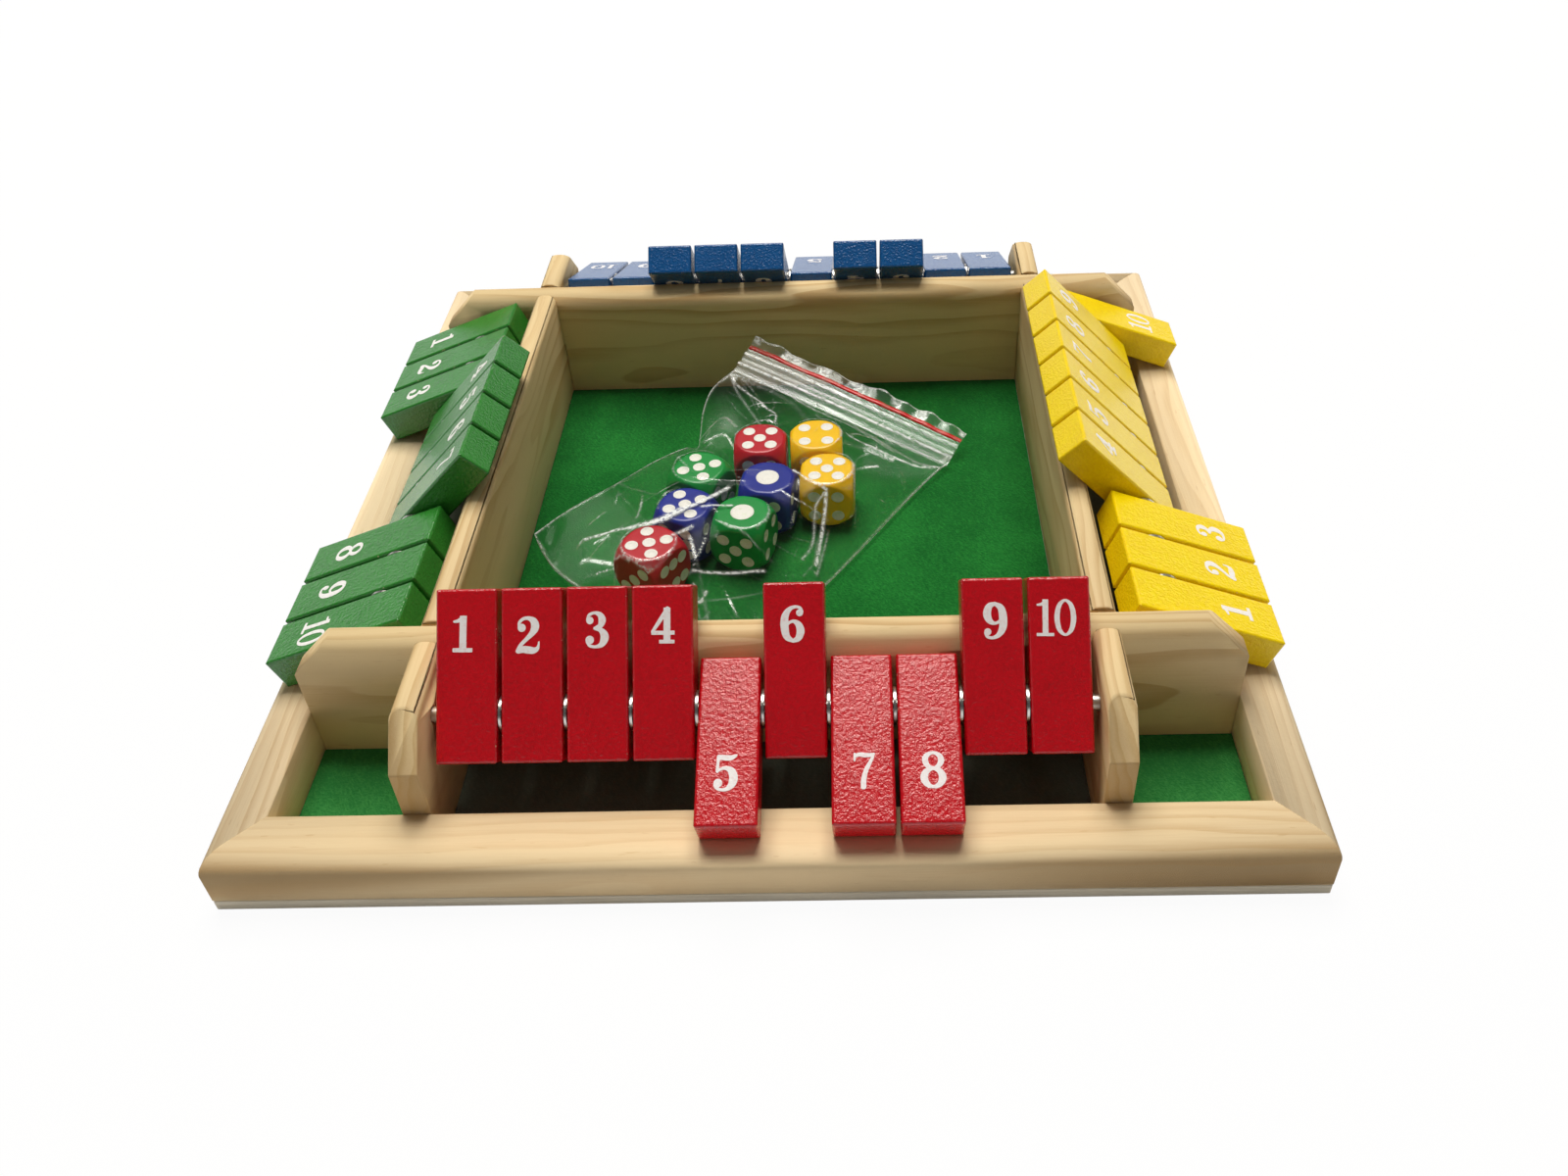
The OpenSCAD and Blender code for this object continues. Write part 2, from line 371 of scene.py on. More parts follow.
@dataclass(frozen=True)
class Felt(Finish):
    """Pressed felt: short fibres lying every way, with a soft nap."""

    dark: tuple = paint_rgb(4, 88, 28)
    light: tuple = paint_rgb(40, 140, 54)
    depth: float = 0.25

    def make(self) -> bpy.types.Material:
        """Two crossed stretched noises make the fibres, and a broad one the nap."""
        g = Graph(self.name)
        point = g.place()
        one = g.noise(g.stretch(point, (0.35, 1, 1)), 2.6, 3.0, 0.7)
        other = g.noise(g.stretch(g.place(57.0), (0.3, 1, 1)), 2.1, 3.0, 0.7)
        nap = g.noise(point, 0.045, 3.0, 0.6)
        fibre = one.larger(other)
        share = (fibre - 0.46) * 2.6 + (nap - 0.5) * 0.9
        return g.surface(
            Base_Color=g.mix(share, self.dark, self.light),
            Roughness=0.92,
            Normal=g.bump(fibre + nap * 0.6, self.depth, 0.8),
            Sheen_Weight=0.12,
            Specular_IOR_Level=0.1,
        )


@dataclass(frozen=True)
class Steel(Finish):
    """Bright turned steel with fine rings of wear."""

    tone: tuple = paint_rgb(214, 211, 205)
    roughness: float = 0.24

    def make(self) -> bpy.types.Material:
        """Fine noise moves the gloss and the tone."""
        g = Graph(self.name)
        scuff = g.noise(g.place(), 1.7, 3.0, 0.7)
        return g.surface(
            Base_Color=g.mix(scuff.rise(0.4, 0.75) * 0.35, self.tone, paint_rgb(168, 160, 148)),
            Metallic=1.0,
            Roughness=self.roughness + scuff * 0.16,
            Normal=g.bump(scuff, 0.02, 0.4),
        )


@dataclass(frozen=True)
class TilePaint(Finish):
    """Thick satin paint over wood: grainy as sprayed on, darker along the edges and chipped there."""

    colour: tuple = (0.5, 0.5, 0.5, 1.0)
    deep: tuple = (0.4, 0.4, 0.4, 1.0)
    gloss: tuple = WHITE
    chipped: tuple = paint_rgb(222, 170, 140)
    axes: tuple = ((1, 0, 0), (0, 1, 0), (0, 0, 1))

    def make(self) -> bpy.types.Material:
        """An edge is where the surface faces none of the tile's own three axes squarely."""
        g = Graph(self.name)
        point = g.in_axes(g.place(), self.axes)
        squarely = abs(g.along(self.axes[0]))
        for axis in self.axes[1:]:
            squarely = squarely.larger(abs(g.along(axis)))
        edge = squarely.rise(0.97, 0.80)
        spray = g.noise(point, 1.35, 2.0, 0.6)
        fibre = g.noise(g.stretch(point, (1, 1, 0.08)), 1.3, 2.0, 0.6)
        cloud = g.noise(point, 0.12, 2.0)
        chip = g.noise(point, 0.9, 3.0, 0.6).rise(0.66, 0.70) * edge
        colour = g.mix((cloud - 0.35) * 0.6 + (spray - 0.45) * 1.5, self.colour, self.deep)
        colour = g.mix(edge * 0.35, colour, self.deep)
        colour = g.mix(chip * 0.6, colour, self.chipped)
        return g.surface(
            Base_Color=colour,
            Roughness=0.17 + spray * 0.10 + chip * 0.3,
            Normal=g.bump(spray + fibre * 0.4 - chip * 0.6, 0.22, 0.9),
            Specular_IOR_Level=0.6,
            Specular_Tint=self.gloss,
        )


@dataclass(frozen=True)
class Ink(Finish):
    """White printed numbers, a little thin where the paint under them is rough."""

    white: tuple = paint_rgb(244, 240, 240)
    tint: tuple = paint_rgb(226, 190, 190)

    def make(self) -> bpy.types.Material:
        """Noise at the paint's own grain lets a little of the paint through."""
        g = Graph(self.name)
        spray = g.noise(g.place(), 1.25, 3.0, 0.62)
        return g.surface(
            Base_Color=g.mix(spray.rise(0.45, 0.85) * 0.7, self.white, self.tint),
            Roughness=0.5 + spray * 0.2,
            Normal=g.bump(spray, 0.08, 0.5),
        )


@dataclass(frozen=True)
class DiePlastic(Finish):
    """Polished coloured plastic of a die."""

    colour: tuple = (0.5, 0.5, 0.5, 1.0)
    deep: tuple = (0.4, 0.4, 0.4, 1.0)

    def make(self) -> bpy.types.Material:
        """Faint clouds in the colour, and tumbling marks in the gloss."""
        g = Graph(self.name)
        point = g.place()
        cloud = g.noise(point, 0.16, 2.0)
        marks = g.noise(point, 0.9, 3.0, 0.6)
        return g.surface(
            Base_Color=g.mix(cloud * 0.7, self.colour, self.deep),
            Roughness=0.24 + marks * 0.14,
            Normal=g.bump(marks, 0.03, 0.4),
            Subsurface_Weight=0.15,
            Subsurface_Scale=2 * MM,
        )


@dataclass(frozen=True)
class Film(Finish):
    """Clear polythene film: it mirrors a little of the light, and shows white at its folds, as real
    whitened creases and as painted glints.
    """

    haze: float = 0.008
    whitening_and_glint: float = 0.75
    mirror: float = 0.6
    ripple: float = 0.04
    tone: tuple = paint_rgb(236, 240, 238)

    def make(self) -> bpy.types.Material:
        """The cover rises at a glancing view and with the piece's own attribute of whitened creases and
        painted glints.
        """
        g = Graph(self.name)
        point = g.place()
        glance = g.node("ShaderNodeLayerWeight", inputs={"Blend": 0.5}, output="Facing")
        fold = g.node("ShaderNodeAttribute", {"attribute_name": "fold"}, output="Fac")
        smear = g.noise(point, 0.09, 3.0, 0.6)
        flake = g.noise(point, 0.9, 2.0, 0.6).rise(0.36, 0.58)
        # Where that attribute is high the film turns white and matte: painted glints and highlights, with
        # some real whitened creases.
        cover = self.haze * (0.5 + smear) + glance ** 3.0 * 0.08 + fold * self.whitening_and_glint * (0.45 + flake)
        return g.surface(
            Base_Color=self.tone,
            Metallic=(1 - fold.rise(0.1, 0.5)) * self.mirror,
            Roughness=0.10 + smear * 0.10 + fold * 0.15,
            Alpha=cover,
            Normal=g.bump(g.noise(point, 0.22, 1.0), self.ripple, 0.5),
        )


@dataclass(frozen=True)
class RedLine(Finish):
    """The red line printed along the bag's closing strip."""

    colour: tuple = paint_rgb(196, 26, 26)

    def make(self) -> bpy.types.Material:
        """The print thins in patches along the line."""
        # Pale pink patches along the line, where it also turns partly clear, are painted reflection.
        g = Graph(self.name)
        patch = g.noise(g.place(), 0.30, 3.0, 0.6)
        return g.surface(
            Base_Color=g.mix(patch.rise(0.45, 0.62) * 0.6, self.colour, paint_rgb(224, 118, 104)),
            Roughness=0.22 + patch * 0.1,
            Alpha=1 - patch.rise(0.5, 0.66) * 0.45,
        )


def unit(vector: np.ndarray) -> np.ndarray:
    """The vector, or each row of an array of them, at length one."""
    return vector / np.linalg.norm(vector, axis=-1, keepdims=True)


def spin(axis: int, degrees: float) -> np.ndarray:
    """The matrix that turns about one axis, anticlockwise seen from its tip."""
    c, s = math.cos(math.radians(degrees)), math.sin(math.radians(degrees))
    turned = np.eye(3)
    one, two = (axis + 1) % 3, (axis + 2) % 3
    turned[one, one], turned[one, two] = c, -s
    turned[two, one], turned[two, two] = s, c
    return turned


def grid_faces(rows: int, columns: int, wrap: bool = False) -> np.ndarray:
    """The quads of a grid of points numbered row by row.

    Args:
        rows: Points one way.
        columns: Points the other way.
        wrap: Whether the last column joins the first.

    Returns:
        One row of four point numbers for each quad.
    """
    ids = np.arange(rows * columns).reshape(rows, columns)
    if wrap:
        ids = np.concatenate([ids, ids[:, :1]], axis=1)
    quads = (ids[:-1, :-1], ids[:-1, 1:], ids[1:, 1:], ids[1:, :-1])
    return np.stack(quads, axis=-1).reshape(-1, 4)


def spline(knots: np.ndarray, samples: int) -> np.ndarray:
    """A smooth curve through points, each span a cubic of the four points around it.

    Args:
        knots: The points, one a row. Where the last is the first, the curve is a loop.
        samples: Points to a span.

    Returns:
        The curve's points.
    """
    padded = np.concatenate([[2 * knots[0] - knots[1]], knots, [2 * knots[-1] - knots[-2]]])
    if np.allclose(knots[0], knots[-1]):
        padded[0], padded[-1] = knots[-2], knots[1]
    place = np.linspace(0, len(knots) - 1, samples * (len(knots) - 1) + 1)
    span = np.minimum(place.astype(int), len(knots) - 2)
    t = (place - span)[:, None]
    a, b, c, d = (padded[span + k] for k in range(4))
    return 0.5 * (2 * b + (c - a) * t + (2 * a - 5 * b + 4 * c - d) * t**2 + (3 * b - a - 3 * c + d) * t**3)


def even_path(knots: Sequence[Sequence[float]], count: int) -> np.ndarray:
    """A smooth curve through points, as so many points at even steps along it."""
    curve = spline(np.array(knots, float), SPLINE_SAMPLES)
    along = np.concatenate([[0], np.cumsum(np.linalg.norm(np.diff(curve, axis=0), axis=1))])
    steps = np.linspace(0, along[-1], count)
    return np.stack([np.interp(steps, along, column) for column in curve.T], axis=-1)


@dataclass
class Shell:
    """Shapes gathered into one set of points and faces."""

    points: list[np.ndarray] = field(default_factory=list)
    faces: list[tuple[int, ...]] = field(default_factory=list)
    size: int = 0

    def add(self, points: np.ndarray, faces: Iterable) -> None:
        """Takes in a shape, with its point numbers moved past the ones before."""
        self.faces += [tuple(i + self.size for i in face) for face in faces]
        self.points.append(points)
        self.size += len(points)

    def joined(self) -> np.ndarray:
        """All the points, one a row."""
        return np.concatenate(self.points)


def add_piece(
    name: str,
    points: np.ndarray,
    faces: Iterable,
    finish: Finish,
    body: str,
    replaces: Sequence[str] = (),
    slot: str | None = None,
) -> bpy.types.Object:
    """Makes one smooth-shaded piece from points in millimetres.

    Args:
        name: The piece's name.
        points: Its points, one a row.
        faces: Its faces, each a row of point numbers.
        finish: Its first material.
        body: The body that it rides on.
        replaces: The frame's nodes that it stands for.
        slot: Not used.

    Returns:
        The new object.
    """
    mesh = bpy.data.meshes.new(name)
    mesh.from_pydata((np.asarray(points) * MM).tolist(), [], [list(map(int, f)) for f in faces])
    mesh.polygons.foreach_set("use_smooth", np.ones(len(mesh.polygons), bool))
    mesh.materials.append(material_of(finish))
    mesh.update()
    piece = bpy.data.objects.new(name, mesh)
    bpy.context.scene.collection.objects.link(piece)
    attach(piece, body)
    if replaces:
        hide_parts(*replaces)
    LOG.info("%s: %d points, %d faces, on %s", name, len(mesh.vertices), len(mesh.polygons), body)
    return piece


def dress(node: str, finish: Finish) -> None:
    """Gives a node of the frame its finish."""
    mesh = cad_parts[node].data
    mesh.materials.clear()
    mesh.materials.append(material_of(finish))
    LOG.info("%s: %s", node, finish.name)


def eased_copy(node: str, finish: Finish, ease: float) -> bpy.types.Object:
    """A welded copy of a board with its sharp edges sanded off.

    Args:
        node: The frame's node, which the copy stands for.
        finish: Its finish.
        ease: The width of the sanded edge.

    Returns:
        The copy, with a live bevel.
    """
    bm = bmesh.new()
    bm.from_mesh(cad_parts[node].data)
    bmesh.ops.remove_doubles(bm, verts=bm.verts, dist=WELD_GAP * MM)
    flat = math.radians(FLAT_DEGREES)
    bmesh.ops.dissolve_limit(bm, angle_limit=flat, verts=bm.verts, edges=bm.edges)
    mesh = bpy.data.meshes.new(f"eased_{node}")
    bm.normal_update()
    turns = [edge.calc_face_angle(0.0) > math.radians(SHARP_DEGREES) for edge in bm.edges]
    mitred = [
        any(abs(abs(f.normal.x) - MITRE_NORMAL) < MITRE_SLACK for f in edge.link_faces)
        for edge in bm.edges
    ]
    bm.to_mesh(mesh)
    bm.free()
    weights = np.array(turns, float) * (1 - np.array(mitred, float))
    mesh.attributes.new("bevel_weight_edge", "FLOAT", "EDGE").data.foreach_set("value", weights)
    mesh.polygons.foreach_set("use_smooth", np.ones(len(mesh.polygons), bool))
    mesh.materials.append(material_of(finish))
    piece = bpy.data.objects.new(f"eased_{node}", mesh)
    bpy.context.scene.collection.objects.link(piece)
    bevel = piece.modifiers.new("sanded_edges", "BEVEL")
    bevel.width = ease * MM
    bevel.segments = 2
    bevel.limit_method = "WEIGHT"
    bevel.use_clamp_overlap = False
    bevel.harden_normals = True
    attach(piece, "root")
    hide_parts(node)
    LOG.info("eased_%s: %d faces before its bevel", node, len(mesh.polygons))
    return piece


@dataclass
class Woodwork:
    """The base board, the four mitred rails and the four lapped tray walls."""

    rail_ease: float = 0.45
    base_ease: float = 0.35
    rail_rings: tuple[float, float] = (3.4, 0.45)
    wall_rings: tuple[float, float] = (3.2, 0.9)
    # The side rails take a paler early wood than the front and back rails: painted light that brings their
    # tops up to the front rail's brightness.
    rail_early_side_lit: tuple = (paint_rgb(236, 211, 168), paint_rgb(247, 224, 184))
    wall_early: tuple = paint_rgb(228, 202, 152)
    wall_late: tuple = paint_rgb(194, 156, 100)

    def build(self) -> None:
        """Dresses each board as a piece of its own, cut from its own stretch of pine."""
        for k, name in enumerate(("front", "right", "back", "left")):
            grain = (Grain.ALONG_X, Grain.ALONG_Y)[k % 2]
            cut = (grain, (17.0 + 9 * k, -47.0 + 6 * k), 190.0 * k, *self.rail_rings)
            rail = Pine(f"pine_{name}_rail", *cut, self.rail_early_side_lit[k % 2])
            cut = (grain, (9.0 - 5 * k, -16.0 + 4 * k), 90.0 + 210.0 * k, *self.wall_rings)
            wall = Pine(f"pine_{name}_wall", *cut, self.wall_early, self.wall_late)
            eased_copy(f"{name}_rail", rail, self.rail_ease)
            eased_copy(f"{name}_wall", wall, self.rail_ease)
        eased_copy("base_board", Ply("ply_base"), self.base_ease)


@dataclass
class Hardware:
    """The felt, the trough linings, the rods and the washers."""

    def build(self) -> None:
        """Dresses the frame's own nodes."""
        dress("tray_felt", Felt("green_felt"))
        # The corner felts take a paler green than the tray felt: painted light for the brighter light on
        # the open corners.
        dress("corner_felts", Felt("corner_felt_painted_light", paint_rgb(34, 112, 50), paint_rgb(74, 156, 78)))
        # The lining's grey is lighter than the black felt it stands for: painted light that lifts the shade
        # the tiles cast over the troughs.
        lining = Felt("black_lining", paint_rgb(84, 90, 78), paint_rgb(106, 112, 98), 0.12)
        dress("trough_linings", lining)
        dress("pivot_rods", Steel("rod_steel"))
        dress("spacer_washers", Steel("washer_steel", roughness=0.2))


Pen = tuple[tuple[float, float, float], ...]


@dataclass(frozen=True)
class Glyph:
    """One numeral, in units of its height: pen strokes, ball ends and square slabs.

    A stroke's points are x, y and the pen's width there. A ball is x, y and its radius. A slab is
    its left, foot, right and top.
    """

    width: float
    strokes: tuple[Pen, ...] = ()
    balls: tuple[tuple[float, float, float], ...] = ()
    slabs: tuple[tuple[float, float, float, float], ...] = ()

    def turned(self) -> "Glyph":
        """The numeral turned upside down."""
        w = self.width
        return Glyph(
            w,
            tuple(tuple((w - x, 1 - y, pen) for x, y, pen in s) for s in self.strokes),
            tuple((w - x, 1 - y, r) for x, y, r in self.balls),
            tuple((w - x1, 1 - y1, w - x0, 1 - y0) for x0, y0, x1, y1 in self.slabs),
        )


SIX = Glyph(
    0.66,
    (
        ((0.61, 0.83, 0.06), (0.55, 0.93, 0.08), (0.41, 0.962, 0.085), (0.25, 0.89, 0.13),
         (0.135, 0.70, 0.20), (0.118, 0.42, 0.22), (0.17, 0.17, 0.18), (0.33, 0.045, 0.09)),
        ((0.33, 0.045, 0.09), (0.48, 0.12, 0.17), (0.545, 0.31, 0.215), (0.49, 0.49, 0.17),
         (0.36, 0.575, 0.09), (0.23, 0.53, 0.08), (0.15, 0.42, 0.08)),
    ),
    ((0.535, 0.80, 0.095),),
)
GLYPHS = {
    1: Glyph(
        0.56,
        (((0.30, 0.93, 0.13), (0.17, 0.855, 0.10), (0.05, 0.83, 0.065)),),
        slabs=((0.20, 0.0, 0.39, 0.99), (0.02, 0.0, 0.56, 0.115)),
    ),
    2: Glyph(
        0.66,
        (
            ((0.08, 0.72, 0.06), (0.10, 0.85, 0.08), (0.21, 0.945, 0.09), (0.36, 0.955, 0.11),
             (0.49, 0.87, 0.19), (0.525, 0.72, 0.22), (0.45, 0.56, 0.16), (0.30, 0.40, 0.11),
             (0.14, 0.24, 0.10), (0.06, 0.09, 0.11)),
            ((0.07, 0.075, 0.14), (0.20, 0.115, 0.18), (0.34, 0.10, 0.20), (0.48, 0.085, 0.17),
             (0.58, 0.13, 0.11), (0.62, 0.23, 0.06), (0.63, 0.31, 0.045)),
        ),
        ((0.16, 0.70, 0.11),),
    ),
    3: Glyph(
        0.64,
        (
            ((0.07, 0.79, 0.06), (0.13, 0.91, 0.08), (0.28, 0.96, 0.085), (0.42, 0.90, 0.15),
             (0.475, 0.76, 0.20), (0.42, 0.61, 0.14), (0.27, 0.54, 0.08)),
            ((0.27, 0.54, 0.08), (0.43, 0.49, 0.13), (0.525, 0.37, 0.21), (0.53, 0.25, 0.22),
             (0.45, 0.10, 0.15), (0.30, 0.045, 0.085), (0.14, 0.07, 0.08), (0.05, 0.17, 0.06)),
        ),
        ((0.14, 0.755, 0.10), (0.13, 0.23, 0.115)),
    ),
    4: Glyph(
        0.66,
        (
            ((0.465, 0.945, 0.11), (0.26, 0.62, 0.11), (0.06, 0.32, 0.085)),
        ),
        slabs=((0.36, 0.0, 0.545, 0.97), (0.03, 0.235, 0.66, 0.345), (0.24, 0.0, 0.66, 0.10)),
    ),
    5: Glyph(
        0.66,
        (
            ((0.13, 0.925, 0.12), (0.28, 0.905, 0.15), (0.44, 0.905, 0.14), (0.55, 0.95, 0.09),
             (0.60, 0.985, 0.035)),
            ((0.12, 0.95, 0.08), (0.11, 0.75, 0.08), (0.10, 0.53, 0.08)),
            ((0.10, 0.53, 0.07), (0.20, 0.60, 0.075), (0.34, 0.62, 0.11), (0.48, 0.54, 0.19),
             (0.535, 0.36, 0.23), (0.49, 0.17, 0.18), (0.36, 0.055, 0.10), (0.20, 0.045, 0.085),
             (0.08, 0.11, 0.08), (0.045, 0.19, 0.06)),
        ),
        ((0.135, 0.22, 0.115),),
    ),
    6: SIX,
    7: Glyph(
        0.58,
        (
            ((0.05, 0.91, 0.09), (0.18, 0.94, 0.11), (0.32, 0.92, 0.12), (0.45, 0.93, 0.10),
             (0.55, 0.965, 0.05)),
            ((0.035, 0.97, 0.05), (0.04, 0.86, 0.06), (0.035, 0.77, 0.045)),
            ((0.545, 0.955, 0.05), (0.47, 0.78, 0.09), (0.34, 0.52, 0.12), (0.28, 0.28, 0.14),
             (0.27, 0.075, 0.15)),
        ),
    ),
    8: Glyph(
        0.68,
        (
            ((0.34, 0.957, 0.085), (0.50, 0.89, 0.13), (0.55, 0.75, 0.16), (0.48, 0.60, 0.13),
             (0.34, 0.535, 0.10), (0.20, 0.60, 0.13), (0.13, 0.75, 0.16), (0.18, 0.89, 0.13),
             (0.34, 0.957, 0.085)),
            ((0.34, 0.535, 0.10), (0.52, 0.45, 0.16), (0.58, 0.28, 0.20), (0.50, 0.11, 0.15),
             (0.34, 0.043, 0.085), (0.18, 0.11, 0.15), (0.10, 0.28, 0.20), (0.16, 0.45, 0.16),
             (0.34, 0.535, 0.10)),
        ),
    ),
    9: SIX.turned(),
    "narrow 1": Glyph(
        0.48,
        (((0.26, 0.93, 0.11), (0.15, 0.86, 0.08), (0.04, 0.84, 0.055)),),
        slabs=((0.17, 0.0, 0.325, 0.985), (0.01, 0.0, 0.48, 0.085)),
    ),
    "narrow 0": Glyph(
        0.60,
        (
            ((0.30, 0.96, 0.07), (0.46, 0.82, 0.12), (0.52, 0.50, 0.145), (0.46, 0.18, 0.12),
             (0.30, 0.04, 0.07), (0.14, 0.18, 0.12), (0.08, 0.50, 0.145), (0.14, 0.82, 0.12),
             (0.30, 0.96, 0.07)),
        ),
    ),
}


@dataclass
class NumeralPress:
    """Turns a glyph into a thin raised shape of paint."""

    height: float = 8.4
    step: float = 0.016
    film: float = 0.10
    margin: float = 0.08
    samples: int = 24
    far: float = 9.0
    shy: float = 0.02
    tiny: float = 1e-12

    def depth_field(self, glyph: Glyph) -> tuple[np.ndarray, np.ndarray]:
        """How far each point of a grid lies outside the glyph, below zero inside it.

        Args:
            glyph: The numeral.

        Returns:
            The grid's points, and the distance at each.
        """
        xs = np.arange(-self.margin, glyph.width + self.margin, self.step)
        ys = np.arange(-self.margin, 1 + self.margin, self.step)
        x, y = np.meshgrid(xs, ys)
        away = np.full(x.shape, self.far)
        discs = [spline(np.array(s), self.samples) * (1, 1, 0.5) for s in glyph.strokes]
        discs += [np.array([b]) for b in glyph.balls]
        for rows in discs:
            reach = np.hypot(x[..., None] - rows[:, 0], y[..., None] - rows[:, 1]) - rows[:, 2]
            away = np.minimum(away, reach.min(axis=-1))
        for x0, y0, x1, y1 in glyph.slabs:
            out = np.maximum(abs(x - (x0 + x1) / 2) - (x1 - x0) / 2, abs(y - (y0 + y1) / 2) - (y1 - y0) / 2)
            away = np.minimum(away, out)
        return np.stack([x, y], axis=-1), away

    def outline(self, glyph: Glyph) -> tuple[np.ndarray, list[list[int]]]:
        """The flat shape where the distance is below zero, cut cell by cell along the zero line.

        A cell's corners and the crossings on its edges are taken in turn, and those inside make
        its face. A crossing lies where the distance, taken as straight along the edge, is zero.

        Args:
            glyph: The numeral.

        Returns:
            Flat points, and faces that share them.
        """
        grid, away = self.depth_field(glyph)
        rows, columns = away.shape
        count = rows * columns
        corner = np.arange(count).reshape(rows, columns)
        ahead = away[:, :-1] / (away[:, :-1] - away[:, 1:] + self.tiny)
        ahead = np.clip(ahead, self.shy, 1 - self.shy)[..., None]
        above = away[:-1] / (away[:-1] - away[1:] + self.tiny)
        above = np.clip(above, self.shy, 1 - self.shy)[..., None]
        points = np.zeros((3, rows, columns, 2))
        points[0] = grid
        points[1, :, :-1] = grid[:, :-1] * (1 - ahead) + grid[:, 1:] * ahead
        points[2, :-1] = grid[:-1] * (1 - above) + grid[1:] * above
        ring = np.stack(
            [
                corner[:-1, :-1], corner[:-1, :-1] + count, corner[:-1, 1:], corner[:-1, 1:] + 2 * count,
                corner[1:, 1:], corner[1:, :-1] + count, corner[1:, :-1], corner[:-1, :-1] + 2 * count,
            ]
        )
        inside = away < 0
        flags = [inside[:-1, :-1], inside[:-1, 1:], inside[1:, 1:], inside[1:, :-1]]
        case = sum(flag.astype(int) << k for k, flag in enumerate(flags))
        faces: list[list[int]] = []
        for kind in range(1, 16):
            held = [kind >> k & 1 for k in range(4)]
            tokens = []
            for k in range(4):
                tokens += [2 * k] * held[k] + [2 * k + 1] * (held[k] != held[k - 3])
            faces += ring[tokens][:, case == kind].T.tolist()
        return points.reshape(-1, 2), faces

    @functools.cache
    def press(self, value: int | str) -> tuple[np.ndarray, tuple[tuple[int, ...], ...]]:
        """The raised numeral, centred, with its foot at zero, lying on the plane of X and Y.

        Args:
            value: The glyph's name.

        Returns:
            Points in millimetres, and faces.
        """
        flat, faces = self.outline(GLYPHS[value])
        bm = bmesh.new()
        used = sorted({i for f in faces for i in f})
        index = {old: new for new, old in enumerate(used)}
        for x, y in flat[used] * self.height:
            bm.verts.new((x, y, 0))
        bm.verts.ensure_lookup_table()
        for f in faces:
            bm.faces.new([bm.verts[index[i]] for i in f])
        bmesh.ops.dissolve_limit(bm, angle_limit=math.radians(1), verts=bm.verts, edges=bm.edges)
        bmesh.ops.solidify(bm, geom=bm.faces[:], thickness=self.film)
        bmesh.ops.recalc_face_normals(bm, faces=bm.faces)
        bm.verts.index_update()
        points = np.array([v.co for v in bm.verts])
        points[:, 2] -= points[:, 2].min()
        shapes = tuple(tuple(v.index for v in f.verts) for f in bm.faces)
        bm.free()
        return points, shapes

    def __hash__(self) -> int:
        """Presses of the same sizes are the same."""
        return hash((self.height, self.step, self.film))


@dataclass(frozen=True)
class Row:
    """One player's ten tiles."""

    colour: str
    side: Side
    folded: tuple[int, ...]
    bright: tuple
    deep: tuple
    ink_tint: tuple
    gloss: tuple = WHITE
    nudges: tuple[tuple[float, float], ...] = ()


ROWS = (
    Row(
        "red",
        Side.FRONT,
        (5, 7, 8),
        paint_rgb(202, 6, 24),
        paint_rgb(168, 3, 16),
        paint_rgb(232, 186, 186),
        nudges=((-0.9, 0.2), (-0.8, -0.4), (0, 0.5), (0, 1.3), (-0.3, -0.3), (-0.3, 0.9), (0.2, -0.4),
                (0.3, -0.4), (0.5, 0.8), (-0.8, 1.2)),
    ),
    Row(
        "yellow",
        Side.RIGHT,
        (1, 2, 3, 10),
        paint_rgb(252, 222, 2),
        paint_rgb(236, 194, 0),
        paint_rgb(250, 232, 150),
        (1.0, 0.9, 0.45, 1.0),
    ),
    Row(
        "blue",
        Side.BACK,
        (1, 2, 5, 9, 10),
        paint_rgb(8, 86, 150),
        paint_rgb(4, 62, 118),
        paint_rgb(170, 196, 226),
    ),
    Row(
        "green",
        Side.LEFT,
        (1, 2, 3, 8, 9, 10),
        paint_rgb(48, 134, 44),
        paint_rgb(30, 102, 30),
        paint_rgb(188, 220, 188),
    ),
)


